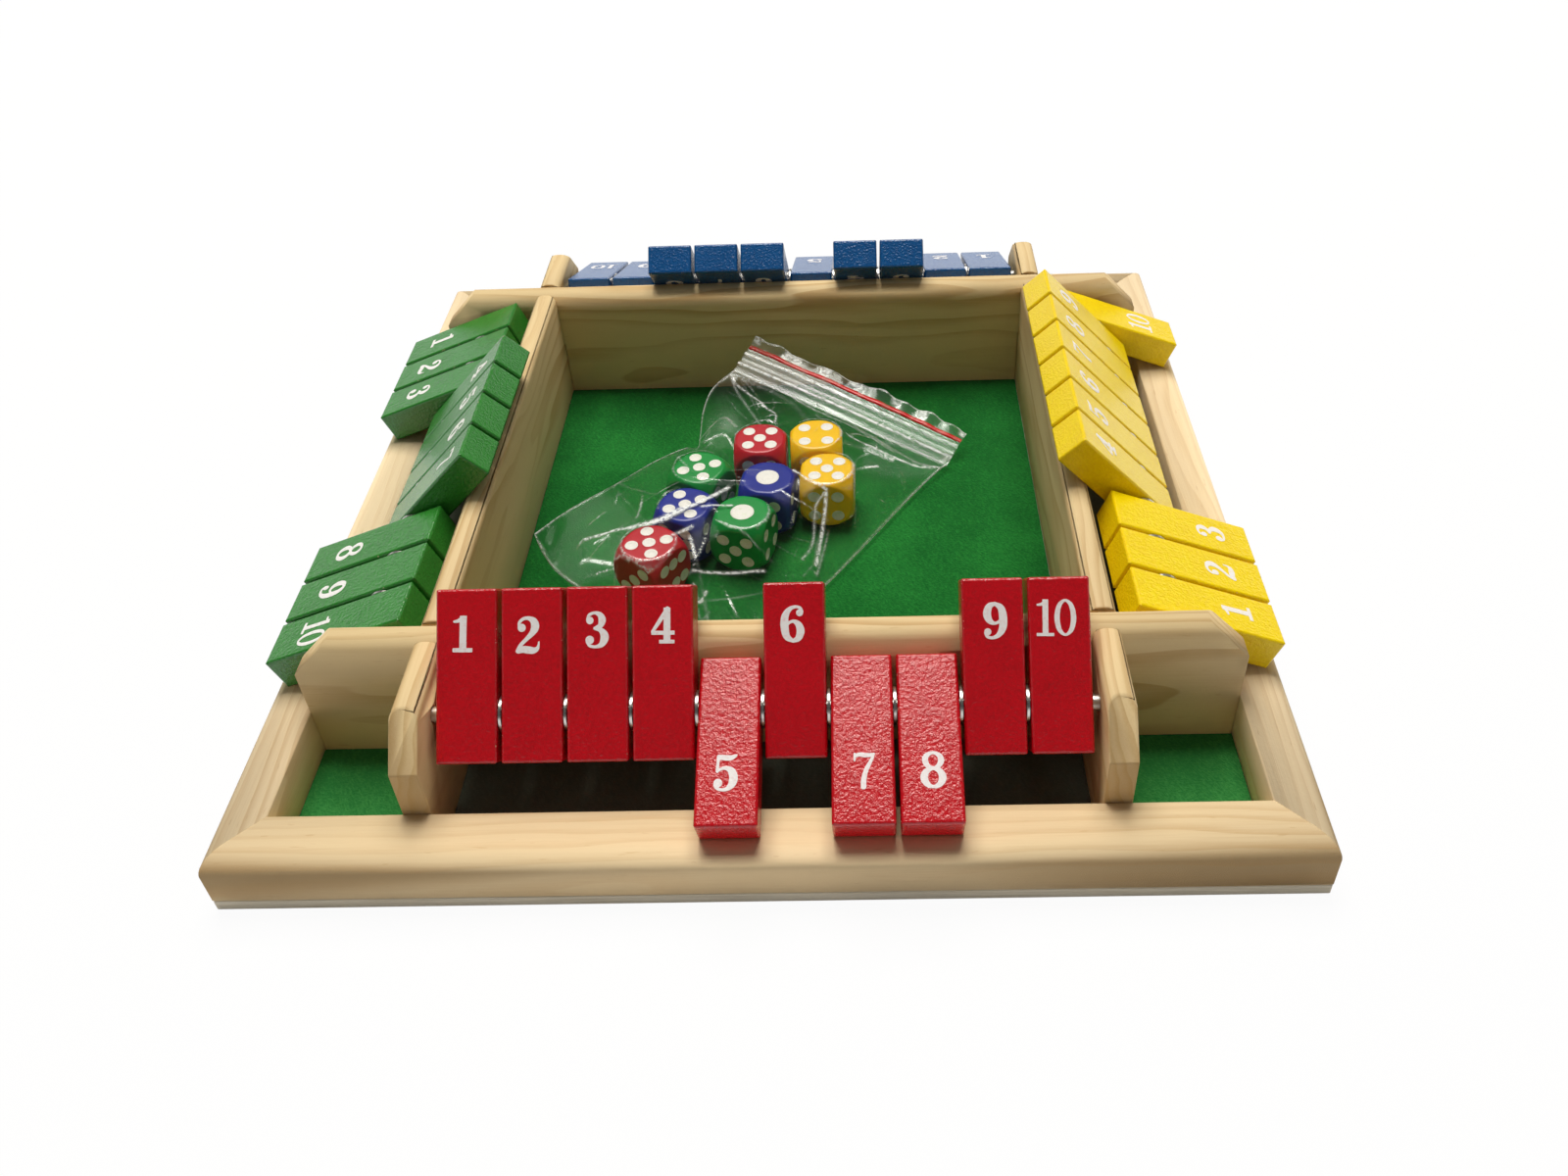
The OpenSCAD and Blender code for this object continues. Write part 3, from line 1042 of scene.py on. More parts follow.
@dataclass
class TileRows:
    """Forty tiles on their rods, each with its number on both faces."""

    tile_w: float = 14.0
    tile_t: float = 9.4
    tip: float = 28.7
    edge: float = 0.7
    gap: float = 1.0
    rod_off: float = 97.5
    rod_h: float = 32.4
    rod_out: float = 14.4
    wall_top: float = 42.0
    wall_round: float = 2.8
    rail_top: float = 17.7
    seat: float = 0.2
    count: int = 10
    up_foot: float = 14.1
    down_foot: float = 8.2
    lift: float = 0.06
    slips: tuple[float, float, float] = (0.5, 0.5, 1.5)
    sharp_degrees: float = 40.0
    seed: int = 41
    press: NumeralPress = field(default_factory=NumeralPress)

    def lean(self) -> float:
        """Degrees that a standing tile leans in, until its face meets the wall's rounding."""
        a, b = self.rod_out + self.wall_round, self.wall_top - self.wall_round - self.rod_h
        reach = (self.wall_round + self.tile_t / 2 + self.seat) / math.hypot(a, b)
        return math.degrees(math.acos(reach) - math.atan2(b, a))

    def droop(self) -> float:
        """Degrees that a folded tile falls past level, until its tip meets the rail."""
        a, b = self.tip - self.edge, self.tile_t / 2 - self.edge
        drop = (self.rod_h - self.edge - self.rail_top - self.seat) / math.hypot(a, b)
        return math.degrees(math.asin(drop) - math.atan2(b, a))

    def turn(self, row: Row, folded: bool) -> np.ndarray:
        """The matrix that takes a tile from upright on the front side to its rest pose."""
        return spin(2, 90.0 * row.side.value) @ spin(0, 90 + self.droop() if folded else -self.lean())

    def rod_point(self, row: Row, index: int) -> np.ndarray:
        """The middle of a tile's bore."""
        x = (index - (self.count + 1) / 2) * (self.tile_w + self.gap)
        return spin(2, 90.0 * row.side.value) @ np.array([x, -self.rod_off, self.rod_h])

    def number(self, index: int, nudge: np.ndarray) -> tuple[np.ndarray, list[tuple[int, ...]]]:
        """A tile's number lying flat, centred on X with its foot at zero.

        Args:
            index: The number.
            nudge: Shifts in millimetres and a tilt in degrees, as printing by hand gives.

        Returns:
            Points in millimetres, and faces.
        """
        names = ["narrow 1", "narrow 0"] if index == self.count else [index]
        widths = [GLYPHS[n].width * self.press.height for n in names]
        left = -sum(widths) / 2
        shell = Shell()
        for name, width in zip(names, widths):
            shape, faces = self.press.press(name)
            shell.add(shape + (left, 0, 0), faces)
            left += width
        flat = shell.joined() @ spin(2, nudge[2]).T
        return flat + (nudge[0], nudge[1], 0), shell.faces

    def numbers(self, row: Row, index: int, rng: np.random.Generator) -> None:
        """Prints the number on the face that shows standing and on the one that shows folded."""
        folded = index in row.folded
        turn, rod = self.turn(row, folded), self.rod_point(row, index)
        half = self.tile_t / 2 - self.press.film + self.lift
        sides = (
            (np.array([[1, 0, 0], [0, 0, 1], [0, -1, 0]]), (0, -half, self.up_foot)),
            (np.array([[1, 0, 0], [0, 0, -1], [0, 1, 0]]), (0, half, self.tip - self.down_foot)),
        )
        shell = Shell()
        for axes, origin in sides:
            nudge = rng.uniform(-1, 1, 3) * self.slips
            if row.nudges:
                nudge[:2] = row.nudges[index - 1]
            flat, faces = self.number(index, nudge)
            shell.add((flat @ axes + origin) @ turn.T + rod, faces)
        name = self.body(row, index)
        ink = Ink(f"{row.colour}_row_ink", tint=row.ink_tint)
        piece = add_piece(f"{name}_numbers", shell.joined(), shell.faces, ink, name)
        piece.data.set_sharp_from_angle(angle=math.radians(self.sharp_degrees))

    @staticmethod
    def body(row: Row, index: int) -> str:
        """The body that a tile is."""
        return f"{row.colour}_tile_{index}"

    def build(self) -> None:
        """Paints every tile and prints its numbers."""
        rng = np.random.default_rng(self.seed)
        for row in ROWS:
            for index in range(1, self.count + 1):
                folded = index in row.folded
                state = "folded" if folded else "standing"
                axes = tuple(tuple(a) for a in self.turn(row, folded).T.round(4).tolist())
                paint = TilePaint(f"{row.colour}_paint_{state}", row.bright, row.deep, row.gloss, axes=axes)
                dress(self.body(row, index), paint)
                self.numbers(row, index, rng)


@dataclass(frozen=True)
class DiePlace:
    """Where a die lies: its colour, place in die widths, turn, and top, front and right values."""

    colour: str
    place: tuple[float, float]
    turn: float
    values: tuple[int, int, int]


DICE = (
    DiePlace("red", (-0.482, 1.421), 0, (5, 4, 1)),
    DiePlace("red", (-2.268, -1.568), -32, (5, 3, 6)),
    DiePlace("yellow", (0.588, 1.506), 2, (4, 5, 6)),
    DiePlace("yellow", (0.811, 0.42), -3, (5, 4, 1)),
    DiePlace("blue", (-0.281, 0.196), -10, (1, 5, 4)),
    DiePlace("blue", (-1.737, -0.53), -21, (5, 6, 4)),
    DiePlace("green", (-1.573, 0.553), -27, (5, 1, 3)),
    DiePlace("green", (-0.688, -0.796), -15, (1, 5, 4)),
)
PIP_WHITE = paint_rgb(230, 228, 220)
PIP_GREY = paint_rgb(206, 204, 200)
DIE_PAINT = {
    "red": (paint_rgb(192, 24, 40), paint_rgb(156, 14, 30), PIP_GREY),
    "yellow": (paint_rgb(244, 198, 8), paint_rgb(226, 172, 4), PIP_GREY),
    "blue": (paint_rgb(26, 44, 150), paint_rgb(16, 26, 112), PIP_GREY),
    "green": (paint_rgb(4, 148, 60), paint_rgb(2, 116, 44), paint_rgb(196, 216, 160)),
}


@dataclass
class Dice:
    """Eight dice with rounded corners and white pips, lying in the bag."""

    width: float = 16.0
    edge: float = 1.1
    ball: float = 10.95
    softness: float = 56.0
    pip_place: float = 0.216
    six_stretch: float = 1.12
    pip: float = 3.7
    one_pip: float = 6.8
    depth: float = 0.45
    low: float = 5.05
    cells: int = 44
    crowding: float = 0.96
    cap_around: int = 28
    cap_rings: int = 6
    cap_hole: float = 0.02
    paint_over: float = 0.03
    paint_under: float = 0.12
    weld_gap: float = 0.002
    body: str = "dice_bag"

    def spots(self, value: int) -> list[tuple[float, float, float]]:
        """The pips of a value, each its place on the face and its radius."""
        x = self.width * self.pip_place
        y = x * (self.six_stretch if value == 6 else 1)
        places = [(0, 0)] if value % 2 else []
        places += [(-1, -1), (1, 1)] if value > 1 else []
        places += [(-1, 1), (1, -1)] if value > 3 else []
        places += [(-1, 0), (1, 0)] if value == 6 else []
        radius = (self.one_pip if value == 1 else self.pip) / 2
        return [(across * x, up * y, radius) for across, up in places]

    def hollow(self, x: np.ndarray, y: np.ndarray, value: int) -> np.ndarray:
        """How deep the pips dip: a bowl of one less the squared share of the pip's radius."""
        dip = np.zeros_like(x)
        for px, py, radius in self.spots(value):
            share = ((x - px) ** 2 + (y - py) ** 2) / radius**2
            dip = np.maximum(dip, self.depth * np.clip(1 - share, 0, 1))
        return dip

    def face(self, value: int) -> tuple[np.ndarray, np.ndarray]:
        """The die's upper face: a cube's face rounded at its edges and to a ball at its corners.

        Args:
            value: The face's value.

        Returns:
            Points in millimetres, and quads.
        """
        half = self.width / 2
        line = half * np.sin(np.linspace(-1, 1, self.cells + 1) * self.crowding) / math.sin(self.crowding)
        x, y = np.meshgrid(line, line)
        cube = np.stack([x, y, np.full_like(x, half)], axis=-1)
        core = np.clip(cube, self.edge - half, half - self.edge)
        box = core + self.edge * unit(cube - core)
        far = np.linalg.norm(box, axis=-1, keepdims=True)
        points = box / (1 + (far / self.ball) ** self.softness) ** (1 / self.softness)
        points[..., 2] -= self.hollow(points[..., 0], points[..., 1], value)
        return points.reshape(-1, 3), grid_faces(self.cells + 1, self.cells + 1)

    def caps(self, value: int) -> tuple[np.ndarray, np.ndarray]:
        """The white paint in the upper face's pips: thin closed bowls.

        Each bowl is a round of points that goes out over the hollow and back under it.

        Args:
            value: The face's value.

        Returns:
            Points in millimetres, and faces.
        """
        around, rings = self.cap_around, self.cap_rings
        angle = np.linspace(0, 2 * math.pi, around, endpoint=False)
        outward = np.linspace(self.cap_hole, 1, rings)
        out = np.concatenate([outward, np.linspace(1, self.cap_hole, rings)])[:, None]
        lift = np.repeat([self.paint_over, -self.paint_under], rings)[:, None]
        faces = grid_faces(2 * rings, around, wrap=True).tolist()
        faces.append(list(reversed(range(around))))
        faces.append(list(range((2 * rings - 1) * around, 2 * rings * around)))
        shell = Shell()
        for px, py, radius in self.spots(value):
            z = self.width / 2 - self.depth * (1 - out**2) + lift
            shape = [px + radius * out * np.cos(angle), py + radius * out * np.sin(angle), z + 0 * angle]
            shell.add(np.stack(shape, axis=-1).reshape(-1, 3), faces)
        return shell.joined(), shell.faces

    def build(self) -> None:
        """Makes each die as one welded shell with its pips."""
        seen: dict[str, int] = {}
        for die in DICE:
            top, front, right = die.values
            sides = (
                (top, np.eye(3)),
                (7 - top, spin(0, 180)),
                (front, spin(0, 90)),
                (7 - front, spin(0, -90)),
                (right, spin(1, 90)),
                (7 - right, spin(1, -90)),
            )
            place = np.array([*die.place, 0]) * self.width + (0, 0, self.low + self.width / 2)
            shell, marks = Shell(), []
            for value, turn in sides:
                for mark, (shape, faces) in enumerate((self.face(value), self.caps(value))):
                    shell.add(shape @ turn.T @ spin(2, die.turn).T + place, faces)
                    marks += [mark] * len(faces)
            seen[die.colour] = seen.get(die.colour, 0) + 1
            name = f"{die.colour}_die_{seen[die.colour]}"
            pair = f"{die.colour}_dice"
            bright, deep, pip_tint = DIE_PAINT[die.colour]
            plastic = DiePlastic(pair, bright, deep)
            piece = add_piece(name, shell.joined(), shell.faces, plastic, self.body, [pair], pair)
            piece.data.materials.append(material_of(Ink(f"{die.colour}_pips", PIP_WHITE, pip_tint)))
            piece.data.polygons.foreach_set("material_index", np.array(marks))
            self.weld(piece)

    def weld(self, piece: bpy.types.Object) -> None:
        """Joins the six faces along their shared edges."""
        bm = bmesh.new()
        bm.from_mesh(piece.data)
        bmesh.ops.remove_doubles(bm, verts=bm.verts, dist=self.weld_gap * MM)
        bm.to_mesh(piece.data)
        bm.free()


@dataclass(frozen=True)
class Crease:
    """A crease that holds the film up: its points, the film's slope from it, and the whiteness and width of
    the painted glint along it.
    """

    points: tuple[tuple[float, float, float], ...]
    slope: float = 1.4
    white: float = 0.6
    width: float = 0.32

    def tent(self, plan: np.ndarray) -> tuple[np.ndarray, np.ndarray]:
        """The tent that hangs from the crease, and how near each place is to it.

        Args:
            plan: Places x and y.

        Returns:
            The tent's height at each place, and the distance from the crease.
        """
        knots = even_path(self.points, 40)
        starts, spans = knots[:-1], np.diff(knots, axis=0)
        offset = plan[..., None, :] - starts[:, :2]
        share = (offset * spans[:, :2]).sum(-1) / (spans[:, :2] ** 2).sum(-1)
        share = np.clip(share, 0, 1)[..., None]
        away = np.linalg.norm(offset - share * spans[:, :2], axis=-1)
        height = starts[:, 2] + share[..., 0] * spans[:, 2] - self.slope * away
        return height.max(axis=-1), away.min(axis=-1)


# Each crease's white paints a glint line along it, partly real whitened film.
CREASES = (
    Crease(((-15.8, -2.2, 21.7), (-21, -6.9, 21.9), (-27, -11, 21.9), (-31.5, -13, 21.9)), 1.0, 1.0, 0.7),
    Crease(((-28, -11.5, 21.9), (-34.6, -16.1, 21.8), (-42.2, -18.2, 20)), 1.0, 1.0, 1.1),
    Crease(((-40, -18, 20.4), (-49.4, -17.2, 18), (-56.9, -16.4, 15.5)), 1.0, 0.95, 0.5),
    Crease(((-22.8, -10.7, 21.6), (-18, -10.7, 21.8), (-14.1, -10.4, 21.9)), 1.0, 0.8, 0.4),
    Crease(((-29.7, -22.6, 21.2), (-25.1, -19, 18)), 1.4, 0.8, 0.6),
    Crease(((3, 5.7, 20.9), (6, 2.6, 18.6), (7.9, 1.1, 16.5), (12.9, -2.4, 11.5)), 1.6, 0.9, 0.34),
    Crease(((12.9, -2.4, 11.5), (12, -10.2, 9), (9.8, -23.1, 6.5)), 1.6, 1.0, 0.42),
    Crease(((12.2, -3.1, 11.5), (9.7, -7.5, 10), (8.9, -17.1, 8), (6, -23, 6.5)), 1.8, 0.55, 0.34),
    Crease(((-23.8, -32.5, 7.5), (-13.5, -31.5, 8), (-4.5, -29.3, 8)), 1.2, 0.75, 0.34),
    Crease(((-23.5, -35.7, 7), (-21.9, -40.1, 7.4), (-20, -37.1, 7)), 1.2, 0.75, 0.34),
    Crease(((-25, -23, 20.5), (-22, -33, 12.5), (-19, -46, 7)), 1.2, 0.2),
    Crease(((-18.7, 58, 21), (-16.5, 53.1, 20), (-4.3, 35.7, 20.5), (-3.2, 29.4, 21.4)), 1.3, 0.65, 0.34),
    Crease(((-27.4, 36.8, 12), (-20.3, 39.3, 16), (-15.3, 29.9, 20)), 1.3, 0.4, 0.34),
    Crease(((-27, 32.9, 10.5), (-24.8, 36.2, 13)), 1.3, 0.4, 0.34),
    Crease(((-19.4, 59.6, 20.8), (-1.1, 50.4, 18.8), (8.9, 40.8, 16.5), (18.6, 36.1, 13.5),
            (32.9, 27.7, 8.5)), 1.2, 0.42, 0.6),
    Crease(((9, 44.6, 18.5), (36.7, 26.7, 8), (47.1, 24.4, 7)), 1.3, 0.4, 0.4),
    Crease(((19.5, 25.5, 10), (21.9, 29.9, 12), (26.3, 31.3, 12)), 1.3, 0.4, 0.34),
    Crease(((19.5, 25.5, 10), (28, 25.7, 9)), 1.3, 0.6, 0.4),
    Crease(((-72.0, -12.6, 13.5), (-69.3, -15.6, 11)), 1.2, 0.6, 0.4),
    Crease(((-51, 9, 14), (-42, 1, 17.5), (-36, -4, 20.5)), 1.2, 0.15),
)


@dataclass
class Bag:
    """The clear pouch that the dice lie in, laid over them and creased, and its closing strip."""

    zip_left: tuple[float, float, float] = (-18.0, 61.2, 21.0)
    zip_right: tuple[float, float, float] = (50.2, 26.0, 6.5)
    left_fold: tuple = ((-25, 55, 18), (-28, 48, 14), (-28.7, 40, 10), (-29, 33, 10), (-31.5, 24.5, 16.5),
                        (-40, 17.5, 17), (-51, 11, 14), (-64, 1, 12.5))
    right_fold: tuple = ((47, 23, 6.2), (38, 11, 5.6), (13, -27, 5.6))
    seam: tuple = ((-72.2, -12, 14), (-69, -17, 9.5), (-62, -24, 6.4), (-40, -42, 5.7), (-14, -63.2, 6))
    across: tuple[float, float, float] = (6.8, 11.3, 4.7)
    rows: int = 225
    columns: int = 177
    floor: float = 4.5
    under_dice: float = 4.85
    clearance: float = 0.35
    seam_gap: float = 0.15
    over_edges: float = 0.4
    over_corners: float = 0.5
    strides: tuple[int, ...] = (16, 8, 4, 2, 1)
    passes: int = 260
    sky_high: float = 99.0
    crumples: int = 110
    crumple_spans: tuple = ((1.2, 5.0), (4.0, 16.0), (0.15, 0.75))
    crumple_bow: float = 0.02
    crumple_seed: int = 7
    fade_cells: float = 9.0
    # White painted at the rim, at sharp bends and on the lower film: painted glints, with some real
    # whitened creases.
    rim_white: float = 0.8
    rim_cells: float = 1.1
    bend_gain: float = 4.0
    bend_least: float = 0.25
    bend_white: float = 0.5
    under_white: float = 0.35
    strip_steps: int = 420
    strip_profile: tuple = (
        (-1.2, 0.10), (1.2, 0.22), (2.0, 0.85), (3.0, 0.90), (3.8, 0.30), (5.2, 0.28), (6.1, 0.80),
        (7.4, 0.85), (8.2, 0.28), (9.4, 0.22), (11.5, 0.18), (14.0, 0.10), (14.0, -0.06),
        (11.5, -0.14), (8.2, -0.24), (3.8, -0.24), (1.2, -0.20), (-1.2, -0.06),
    )
    line_profile: tuple = ((8.95, 0.22), (10.45, 0.22), (10.45, 0.34), (8.95, 0.34))
    cut: tuple[float, float] = (0.160, 0.110)
    dice: Dice = field(default_factory=Dice)
    body: str = "dice_bag"

    def plan(self) -> np.ndarray:
        """The pouch spread between its four edges: each pair of edges blended straight across.

        The two blends are added, and the blend of the four corners alone is taken away.

        Returns:
            A grid of points from the closing strip to the seam, and from left to right.
        """
        back = np.linspace(self.zip_left, self.zip_right, self.columns)
        front = even_path(self.seam, self.columns)
        left = even_path((self.zip_left, *self.left_fold, self.seam[0]), self.rows)
        right = even_path((self.zip_right, *self.right_fold, self.seam[-1]), self.rows)
        v = np.linspace(0, 1, self.rows)[:, None, None]
        u = np.linspace(0, 1, self.columns)[None, :, None]
        along = (1 - v) * back + v * front
        over = (1 - u) * left[:, None] + u * right[:, None]
        corners = (1 - v) * ((1 - u) * back[0] + u * back[-1]) + v * ((1 - u) * front[0] + u * front[-1])
        return along + over - corners

    def dice_under(self, plan: np.ndarray) -> tuple[np.ndarray, np.ndarray]:
        """The rounded dice's height at each place, and whether a die stands there."""
        dice, half = self.dice, self.dice.width / 2 + self.over_edges
        top = np.full(plan.shape[:2], self.floor)
        held = np.zeros(plan.shape[:2], bool)
        for die in DICE:
            local = (plan - np.array(die.place) * dice.width) @ spin(2, die.turn)[:2, :2]
            out = abs(local).max(axis=-1)
            round_edge = np.clip(out - half + dice.edge, 0, dice.edge)
            flat = half - dice.edge + np.sqrt(dice.edge**2 - round_edge**2)
            reach = (dice.ball + self.over_corners) ** 2 - (local**2).sum(-1)
            rise = np.minimum(flat, np.sqrt(np.clip(reach, 0.01, None)))
            height = dice.low + dice.width / 2 + rise - self.over_edges + self.clearance
            inside = out < half
            top = np.where(inside, np.maximum(top, height), top)
            held |= inside
        return top, held

    @staticmethod
    def neighbours(z: np.ndarray) -> np.ndarray:
        """The sum of the four neighbours of each inner point."""
        return z[:-2, 1:-1] + z[2:, 1:-1] + z[1:-1, :-2] + z[1:-1, 2:]

    def drape(self, edge: np.ndarray, low: np.ndarray, high: np.ndarray) -> np.ndarray:
        """A taut film's heights: each point is the mean of its neighbours, kept between two bounds.

        Args:
            edge: First heights, whose border is held.
            low: The least height at each point.
            high: The greatest height at each point.

        Returns:
            The heights, worked out from a coarse grid to the fine one.
        """
        z = edge.copy()
        for stride in self.strides:
            part = z[::stride, ::stride]
            least, most = low[::stride, ::stride][1:-1, 1:-1], high[::stride, ::stride][1:-1, 1:-1]
            for _ in range(self.passes):
                part[1:-1, 1:-1] = np.clip(self.neighbours(part) / 4, least, most)
            half = stride // 2
            if half:
                z[half::stride, ::stride] = (z[:-stride:stride, ::stride] + z[stride::stride, ::stride]) / 2
                z[::half, half::stride] = (z[::half, :-stride:stride] + z[::half, stride::stride]) / 2
                z[[0, -1]], z[:, [0, -1]] = edge[[0, -1]], edge[:, [0, -1]]
        return z

    def wrinkles(self, plan: np.ndarray, rng: np.random.Generator) -> np.ndarray:
        """Small creases at random: each a ridge that falls straight to both sides and dies away."""
        low, high = plan.reshape(-1, 2).min(0), plan.reshape(-1, 2).max(0)
        rise = np.zeros(plan.shape[:2])
        for _ in range(self.crumples):
            centre = rng.uniform(low, high)
            angle = rng.uniform(0, math.pi)
            width, reach, height = [rng.uniform(*span) for span in self.crumple_spans]
            offset = plan - centre
            along = offset @ np.array([math.cos(angle), math.sin(angle)])
            bow = self.crumple_bow * along**2 * rng.uniform(-1, 1)
            side = offset @ np.array([-math.sin(angle), math.cos(angle)]) + bow
            rise += height * np.clip(1 - abs(side) / width, 0, None) * np.exp(-((along / reach) ** 2) * 2)
        return rise

    def film(self) -> None:
        """Makes the pouch: the film over the dice, the film under them, and their shared edges."""
        grid = self.plan()
        plan = grid[..., :2]
        dice_top, held = self.dice_under(plan)
        tents = [crease.tent(plan) for crease in CREASES]
        low = np.maximum.reduce([dice_top, *(height for height, _ in tents)])
        over = self.drape(grid[..., 2], low, np.full_like(low, self.sky_high))
        rows, columns = np.indices(over.shape)
        rim = np.minimum.reduce([rows, self.rows - 1 - rows, columns, self.columns - 1 - columns])
        rng = np.random.default_rng(self.crumple_seed)
        over = over + self.wrinkles(plan, rng) * np.clip(rim / self.fade_cells, 0, 1)
        over = np.maximum(over, dice_top * (rim > 0))
        below = np.where(held, self.under_dice, over - self.seam_gap)
        under = self.drape(grid[..., 2], np.minimum(self.floor, below), below)
        # Painted glints: white at the pouch's rim, along each listed crease and where the film bends
        # sharply, with some real whitened creases; the film under the dice takes a share of it.
        fold = np.exp(-((rim / self.rim_cells) ** 2)) * self.rim_white
        for crease, (_, away) in zip(CREASES, tents):
            fold = np.maximum(fold, crease.white * np.exp(-((away / crease.width) ** 2)))
        bend = np.zeros_like(over)
        bend[1:-1, 1:-1] = 4 * over[1:-1, 1:-1] - self.neighbours(over)
        fold = np.maximum(fold, np.clip(bend * self.bend_gain - self.bend_least, 0, self.bend_white))
        upper = np.dstack([plan, over]).reshape(-1, 3)
        lower = np.dstack([plan, under]).reshape(-1, 3)
        lower[: self.columns, 2] -= self.seam_gap
        ids = np.arange(len(upper)).reshape(over.shape)
        joined = ids + len(upper)
        joined[:, 0], joined[:, -1], joined[-1] = ids[:, 0], ids[:, -1], ids[-1]
        faces = grid_faces(*over.shape)
        flat = np.concatenate([faces[:, ::-1], joined.ravel()[faces]])
        used, renamed = np.unique(flat, return_inverse=True)
        points = np.concatenate([upper, lower])[used]
        faces = renamed.reshape(flat.shape)
        finish = Film("clear_film")
        piece = add_piece("bag_pouch", points, faces, finish, self.body, ["bag_film"], "clear_film")
        white = np.concatenate([fold.ravel(), fold.ravel() * self.under_white])[used]
        piece.data.attributes.new("fold", "FLOAT", "POINT").data.foreach_set("value", white)
        self.cut

    def strip_frame(self, s: np.ndarray, w: np.ndarray, rise: np.ndarray) -> np.ndarray:
        """Points on the closing strip, which bows along its length and curls in waves at its free lip.

        Args:
            s: The share of the way along it.
            w: The distance out across it.
            rise: The height off it.

        Returns:
            The points.
        """
        start, end = np.array(self.zip_left), np.array(self.zip_right)
        along, out = unit(end - start), unit(np.array(self.across))
        up = unit(np.cross(along, out))
        bow = 0.7 * np.sin(math.pi * s) + 0.35 * np.sin(5.3 * s + 0.6) * s
        curl = np.clip((w - 7.0) / 7.0, 0, 1) ** 2
        bow = bow + curl * (0.55 * np.sin(23 * s) + 0.35 * np.sin(61 * s + 1.0) + 0.9 * np.cos(9 * s))
        edge = 0.5 * curl * np.sin(41 * s + 2.0) * np.sin(13 * s)
        height = (rise + bow)[..., None] * up
        return start + s[..., None] * (end - start) + (w + edge)[..., None] * out + height

    def carry(self, profile: Sequence, ends: tuple[float, float], wave: float = 0.0) -> tuple:
        """Carries a closed profile along the strip.

        Args:
            profile: The distances out across the strip and the heights off it.
            ends: The shares of the strip where it begins and ends.
            wave: How far it wavers to both sides.

        Returns:
            Points in millimetres, faces, and the share, distance and height at each point.
        """
        loop, steps = np.array(profile), self.strip_steps
        count = len(loop)
        s = np.repeat(np.linspace(*ends, steps)[:, None], count, axis=1)
        w = np.repeat(loop[None, :, 0], steps, axis=0) + wave * np.sin(19 * s)
        rise = np.repeat(loop[None, :, 1], steps, axis=0)
        faces = grid_faces(steps, count, wrap=True).tolist()
        faces.append(list(range(count)))
        faces.append([(steps - 1) * count + i for i in reversed(range(count))])
        return self.strip_frame(s, w, rise).reshape(-1, 3), faces, (s, w, rise)

    @staticmethod
    def strip_painted_glints(s: np.ndarray, w: np.ndarray, rise: np.ndarray) -> np.ndarray:
        """How white the strip shows, as painted glints and highlights: along its ribs, at one corner, in
        patches on its lip, and at its edge.

        Each band is a bell curve across the strip, and the streaks and patches are waves along it.

        Args:
            s: The share of the way along the strip.
            w: The distance out across it.
            rise: The height off it. Only the upper side is whitened.

        Returns:
            The whiteness of each point.
        """
        # The rib bands, the corner blob, the lip patches and the edge band are painted glints and
        # highlights on the clear strip.
        bands = [(2.5, 0.5), (6.7, 1.2), (12.7, 1.1), (14.0, 0.35)]
        first_rib, second_rib, lip, edge = [np.exp(-(((w - at) / wide) ** 2)) for at, wide in bands]
        streaks = 0.5 + 0.3 * np.sin(31 * s + 5 * w) + 0.3 * np.sin(12 * s - 7 * w + 1.0)
        corner = 0.9 * np.exp(-(((w - 1.5) / 1.6) ** 2) - ((s - 0.985) / 0.02) ** 2)
        patches = np.clip(1.8 * np.sin(39.6 * s + 0.9 * np.sin(17 * s) + 0.4) - 0.5, 0, 1)
        ribs = first_rib + streaks * second_rib + corner
        return np.clip((ribs * 0.8 + lip * patches + edge * 0.7) * (rise > 0), 0, 1)

    def strip(self) -> None:
        """Makes the closing strip: a thin lip, two ribs that press together, and a red line."""
        knots = np.array(self.strip_profile)
        spans = zip(knots, np.roll(knots, -1, axis=0))
        profile = np.concatenate([np.linspace(a, b, 4, endpoint=False) for a, b in spans])
        points, faces, places = self.carry(profile, (0.0, 1.0))
        film = Film("zip_strip", haze=0.045, whitening_and_glint=0.6, mirror=0.6, ripple=0.02)
        piece = add_piece("bag_closing_strip", points, faces, film, self.body, ["bag_zip"], "zip_strip")
        white = self.strip_painted_glints(*places).ravel()
        piece.data.attributes.new("fold", "FLOAT", "POINT").data.foreach_set("value", white)
        points, faces, _ = self.carry(self.line_profile, (0.002, 0.998), 0.12)
        add_piece("bag_red_line", points, faces, RedLine("red_line"), self.body)

    def build(self) -> None:
        """Makes the pouch and its strip."""
        self.film()
        self.strip()


